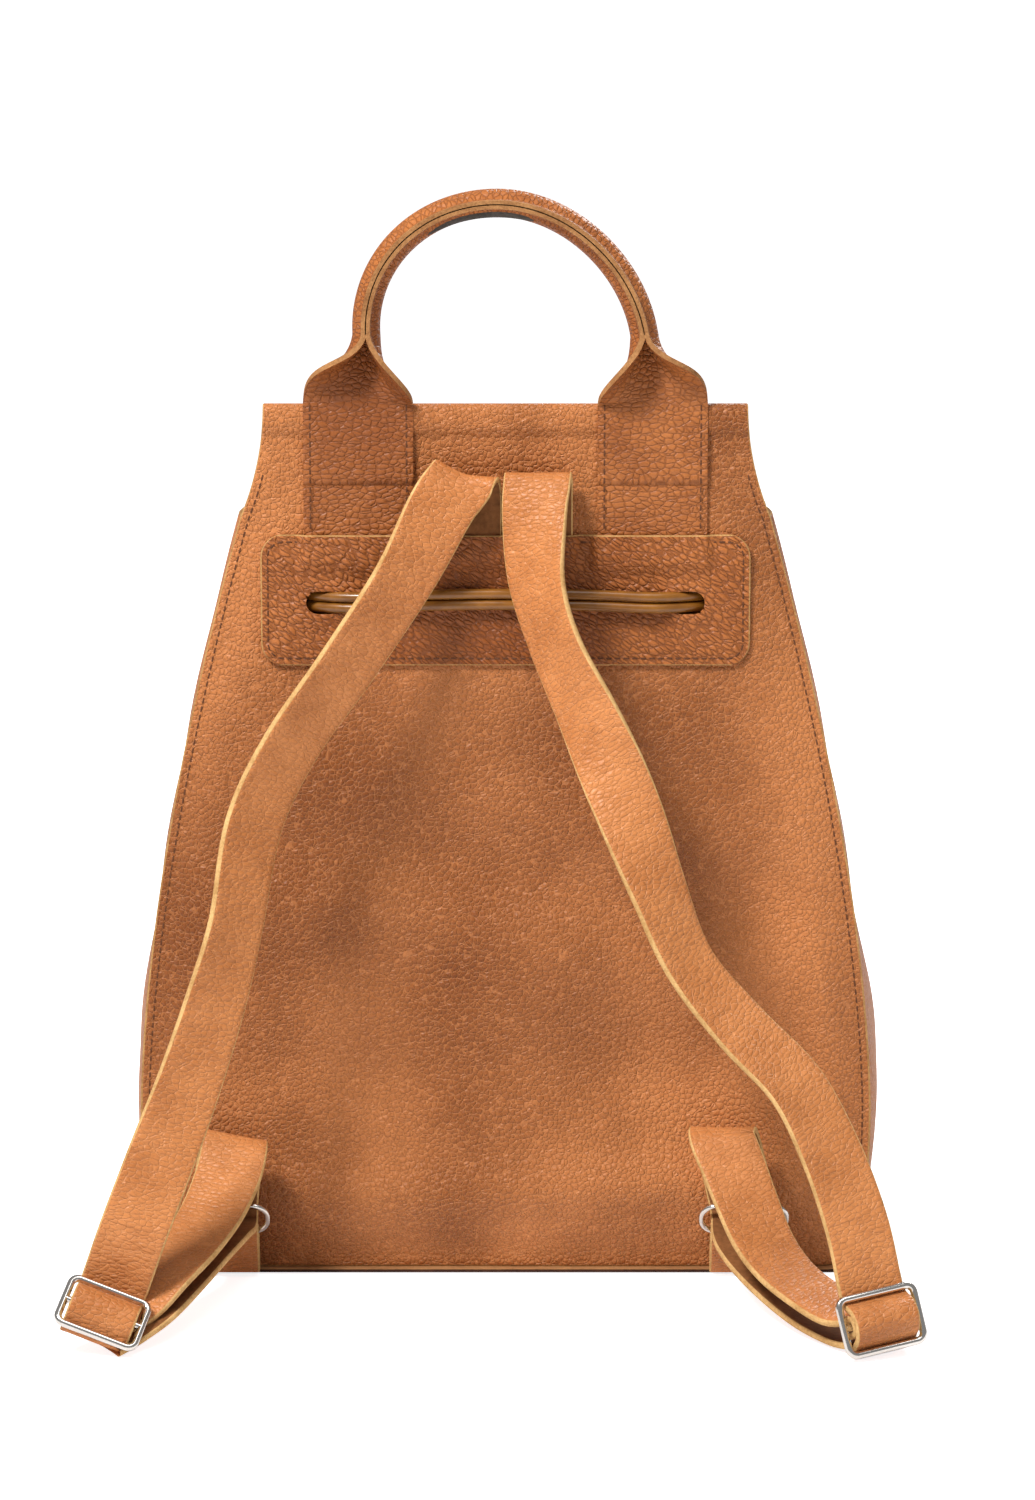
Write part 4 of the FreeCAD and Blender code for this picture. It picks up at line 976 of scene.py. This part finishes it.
hole_x, hole_z = cord_hole
outside = -(leather + cord_radius) * 1000 - 0.3
inner_front = (float(depth(hole_z)) - leather - cord_radius) * 1000 - 0.9
side_x = (float(half_width(hole_z)) - leather - cord_radius) * 1000 - 4.0
hole_mm, mid = hole_x * 1000, hole_z * 1000
upper, lower = mid + 2.3, mid - 2.3
cord_face = float(depth(hole_z)) * 1000


def round_side(sign, z):
    """From a back hole round the inside of one side, towards the front."""
    return [(sign * (hole_mm + 13), 6.8, z), (sign * (side_x - 6), 13, z), (sign * side_x, 30, z),
        (sign * (side_x - 8), inner_front - 8, z), (sign * (side_x - 27), inner_front, z)]


def strand(sign, z):
    """Out of one back hole, across the patch and into the other."""
    half = [(hole_mm - 13, outside - 2.3, z + 0.3), (hole_mm - 34, outside - 1.2, z + 1.4),
        (16, outside - 0.8, z + 1.9)]
    return [(sign * x, y, up) for x, y, up in half] + [(-sign * x, y, up) for x, y, up in half[::-1]]


front_mm = front_hole_x * 1000
tail_leaves = (front_mm - 8, cord_face + 4.5, mid)
tail_enters = (front_mm + 10, cord_face - 7.5, mid + 1)
flipped = (-1, 1, 1)
cord_route = [np.multiply(tail_leaves, flipped), np.multiply(tail_enters, flipped)]
cord_route += round_side(-1, upper)[::-1] + strand(-1, upper) + round_side(1, upper)
cord_route += [(30, inner_front - 0.5, lower - 1.5), (-30, inner_front - 0.5, lower - 1.5)]
cord_route += round_side(-1, lower)[::-1] + strand(-1, lower) + round_side(1, lower)
cord_route += [tail_enters, tail_leaves]
drawstring = cord_curve("drawstring", [place(*p) for p in cord_route])
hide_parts("drawstring")
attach(drawstring, "bag")

# Its tails come down through a leather slide and end in a knot each.
slide_mid = mid - 27
tail_lean = (float(depth((mid - 34) / 1000)) - float(depth((mid - 20) / 1000))) * 1000 / 14
tail_pair = cord_radius * 1000 + 1.4


def off_front(z, gap):
    """The y, in mm, of a cord's middle lying gap in front of the front panel at height z."""
    return float(depth(z / 1000)) * 1000 + cord_radius * 1000 + gap


knot_scale, knot_wire = 0.00082, 0.0017
knots, tails = [], []
for sign, side in ((-1, "left"), (1, "right")):
    mirror = (sign, 1, 1)
    start = np.multiply(tail_leaves, mirror)
    onward = start + 3.0 * unit(start - np.multiply(tail_enters, mirror))
    lean = unit([0, -tail_lean, 1])
    through_slide = np.array([sign * tail_pair, off_front(slide_mid, 2.5), slide_mid])
    knot = np.array([sign * 11, off_front(mid - 66, 2.7), mid - 66])
    route = [start, onward, through_slide + 12 * lean, through_slide - 13 * lean,
        (sign * 8.0, off_front(mid - 52, 1.6), mid - 52), knot]
    tail = cord_curve(side + "_drawstring_tail", [place(*p) for p in route])
    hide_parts(side + "_drawstring_tail")
    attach(tail, "bag")
    tails.append((tail, place(sign * front_mm, cord_face, mid)))
    # A simple knot: a trefoil, drawn tight round the tail's end.
    wind = np.linspace(0, 2 * math.pi, 90, endpoint=False)
    loop = np.stack([np.sin(wind) + 2 * np.sin(2 * wind), np.cos(wind) - 2 * np.cos(2 * wind),
        -1.6 * np.sin(3 * wind)], axis=1) * knot_scale
    way = unit(place(*route[-1]) - place(*route[-2]))
    side_way = unit(np.cross(way, (0, 1, 0)))
    basis = np.stack([side_way, np.cross(side_way, way), way])
    knots.append(wire_points(place(*knot) + loop @ basis, basis[2], knot_wire, 10, True))
knot_points = np.concatenate([k[0] for k in knots])
knot_quads = np.concatenate([knots[0][1], knots[1][1] + len(knots[0][0])])
knot_piece = mesh_object("drawstring_knots", knot_points, knot_quads, [lace], sharp_angle=80)
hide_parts("drawstring_knots")
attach(knot_piece, "bag")
dress(body_leather, "drawstring_slide")

# ---- flap
# The back panel's leather goes on over the rim as the flap, 1.8 mm thick with a cloth lining. It
# bends just in front of the rim, turns down over the mouth and is held by a snap.
flap_root, flap_turn, flap_tip = (6.6, 361.0), (60.0, 338.0), (float(depth(0.195)) * 1000 + 13.2, 195.0)
flap_radius, flap_face = 25.0, 1.5
tip_half, tip_radius = 0.104, 0.055


def flap_line():
    """The flap's outer face in the YZ plane: up against the rim, a bend, a straight run, an arc
    of flap_radius and a straight run to the tip."""
    root, turn, tip = (np.array(p) for p in (flap_root, flap_turn, flap_tip))
    first, second = unit(turn - root), unit(tip - turn)
    bend = math.acos(float(first @ second))
    run = flap_radius * math.tan(bend / 2)
    centre = turn - run * first + flap_radius * np.array([first[1], -first[0]])
    start_out = -np.array([first[1], -first[0]])
    arc = [centre + (flap_radius + flap_face) * (start_out * math.cos(a) + first * math.sin(a))
        for a in np.linspace(0, bend, 26)]
    lead = root + flap_face * start_out
    rim_side = [(6.75, 372.6), (6.8, 368.5), (8.4, 364.6), (13.0, 361.0)]
    bend_in = through(rim_side + [tuple(lead + 14 * first)], 6)
    upper_run = np.linspace(lead + 15.5 * first, arc[0], 30)[:-1]
    end = tip + flap_face * np.array([-second[1], second[0]]) * (1 if second[0] > 0 else -1)
    return np.concatenate([bend_in, upper_run, arc, np.linspace(arc[-1], end, 110)[1:]])


line = flap_line()
line_z = line[:, 1] / 1000
tip_z = line_z[-1]
fall = np.clip((0.366 - line_z) / (0.366 - tip_z), 0, 1)
flap_half = rim_half - 0.0008 + (tip_half - rim_half) * fall
round_in = np.clip(tip_z + tip_radius - line_z, 0, tip_radius - 0.0004)
flap_half = flap_half - tip_radius + np.sqrt(tip_radius ** 2 - round_in ** 2)
flap_u = spaced(-1.0, 1.0, 0.017, 0.005)[None, :]
flap_x = -flap_u * flap_half[:, None]
flap_y = line[:, :1] / 1000 + BACK
flap = wall("flap", grid_of(flap_x, flap_y, line_z[:, None])[::-1], leather, leather_layers)
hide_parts("flap")
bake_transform(flap)
past_bend = slice(26, None)
stitch_x, stitch_y, stitch_z = flap_half - 0.0035, flap_y[:, 0] + 0.0002, line_z + 0.0001
flap_rows = [(np.stack([sign * stitch_x, stitch_y, stitch_z], axis=1)[past_bend], (0, 0.9, 0.3))
    for sign in (-1, 1)]
flap_stitches = stitch_rows("flap_stitches", flap_rows)
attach(flap_stitches, "flap")

lining, lining_tree, lining_places = new_finish("cotton lining")
weave = calc(lining_tree, "MULTIPLY", *(add_node(lining_tree, "TexWave",
    {"Vector": lining_places["Object"], "Scale": 420.0}, bands_direction=axis).outputs["Fac"]
    for axis in "XZ"))
lining_colour = mix(lining_tree, weave, (0.30, 0.150, 0.070, 1), (0.46, 0.26, 0.135, 1))
close_solid(lining_tree, lining_colour, 0.9, {"Normal": raised(lining_tree, weave, 0.5, 0.0002)})
dress(lining, "flap_lining", "neck_lining")
dress(nickel, "snap_socket", "snap_stud")
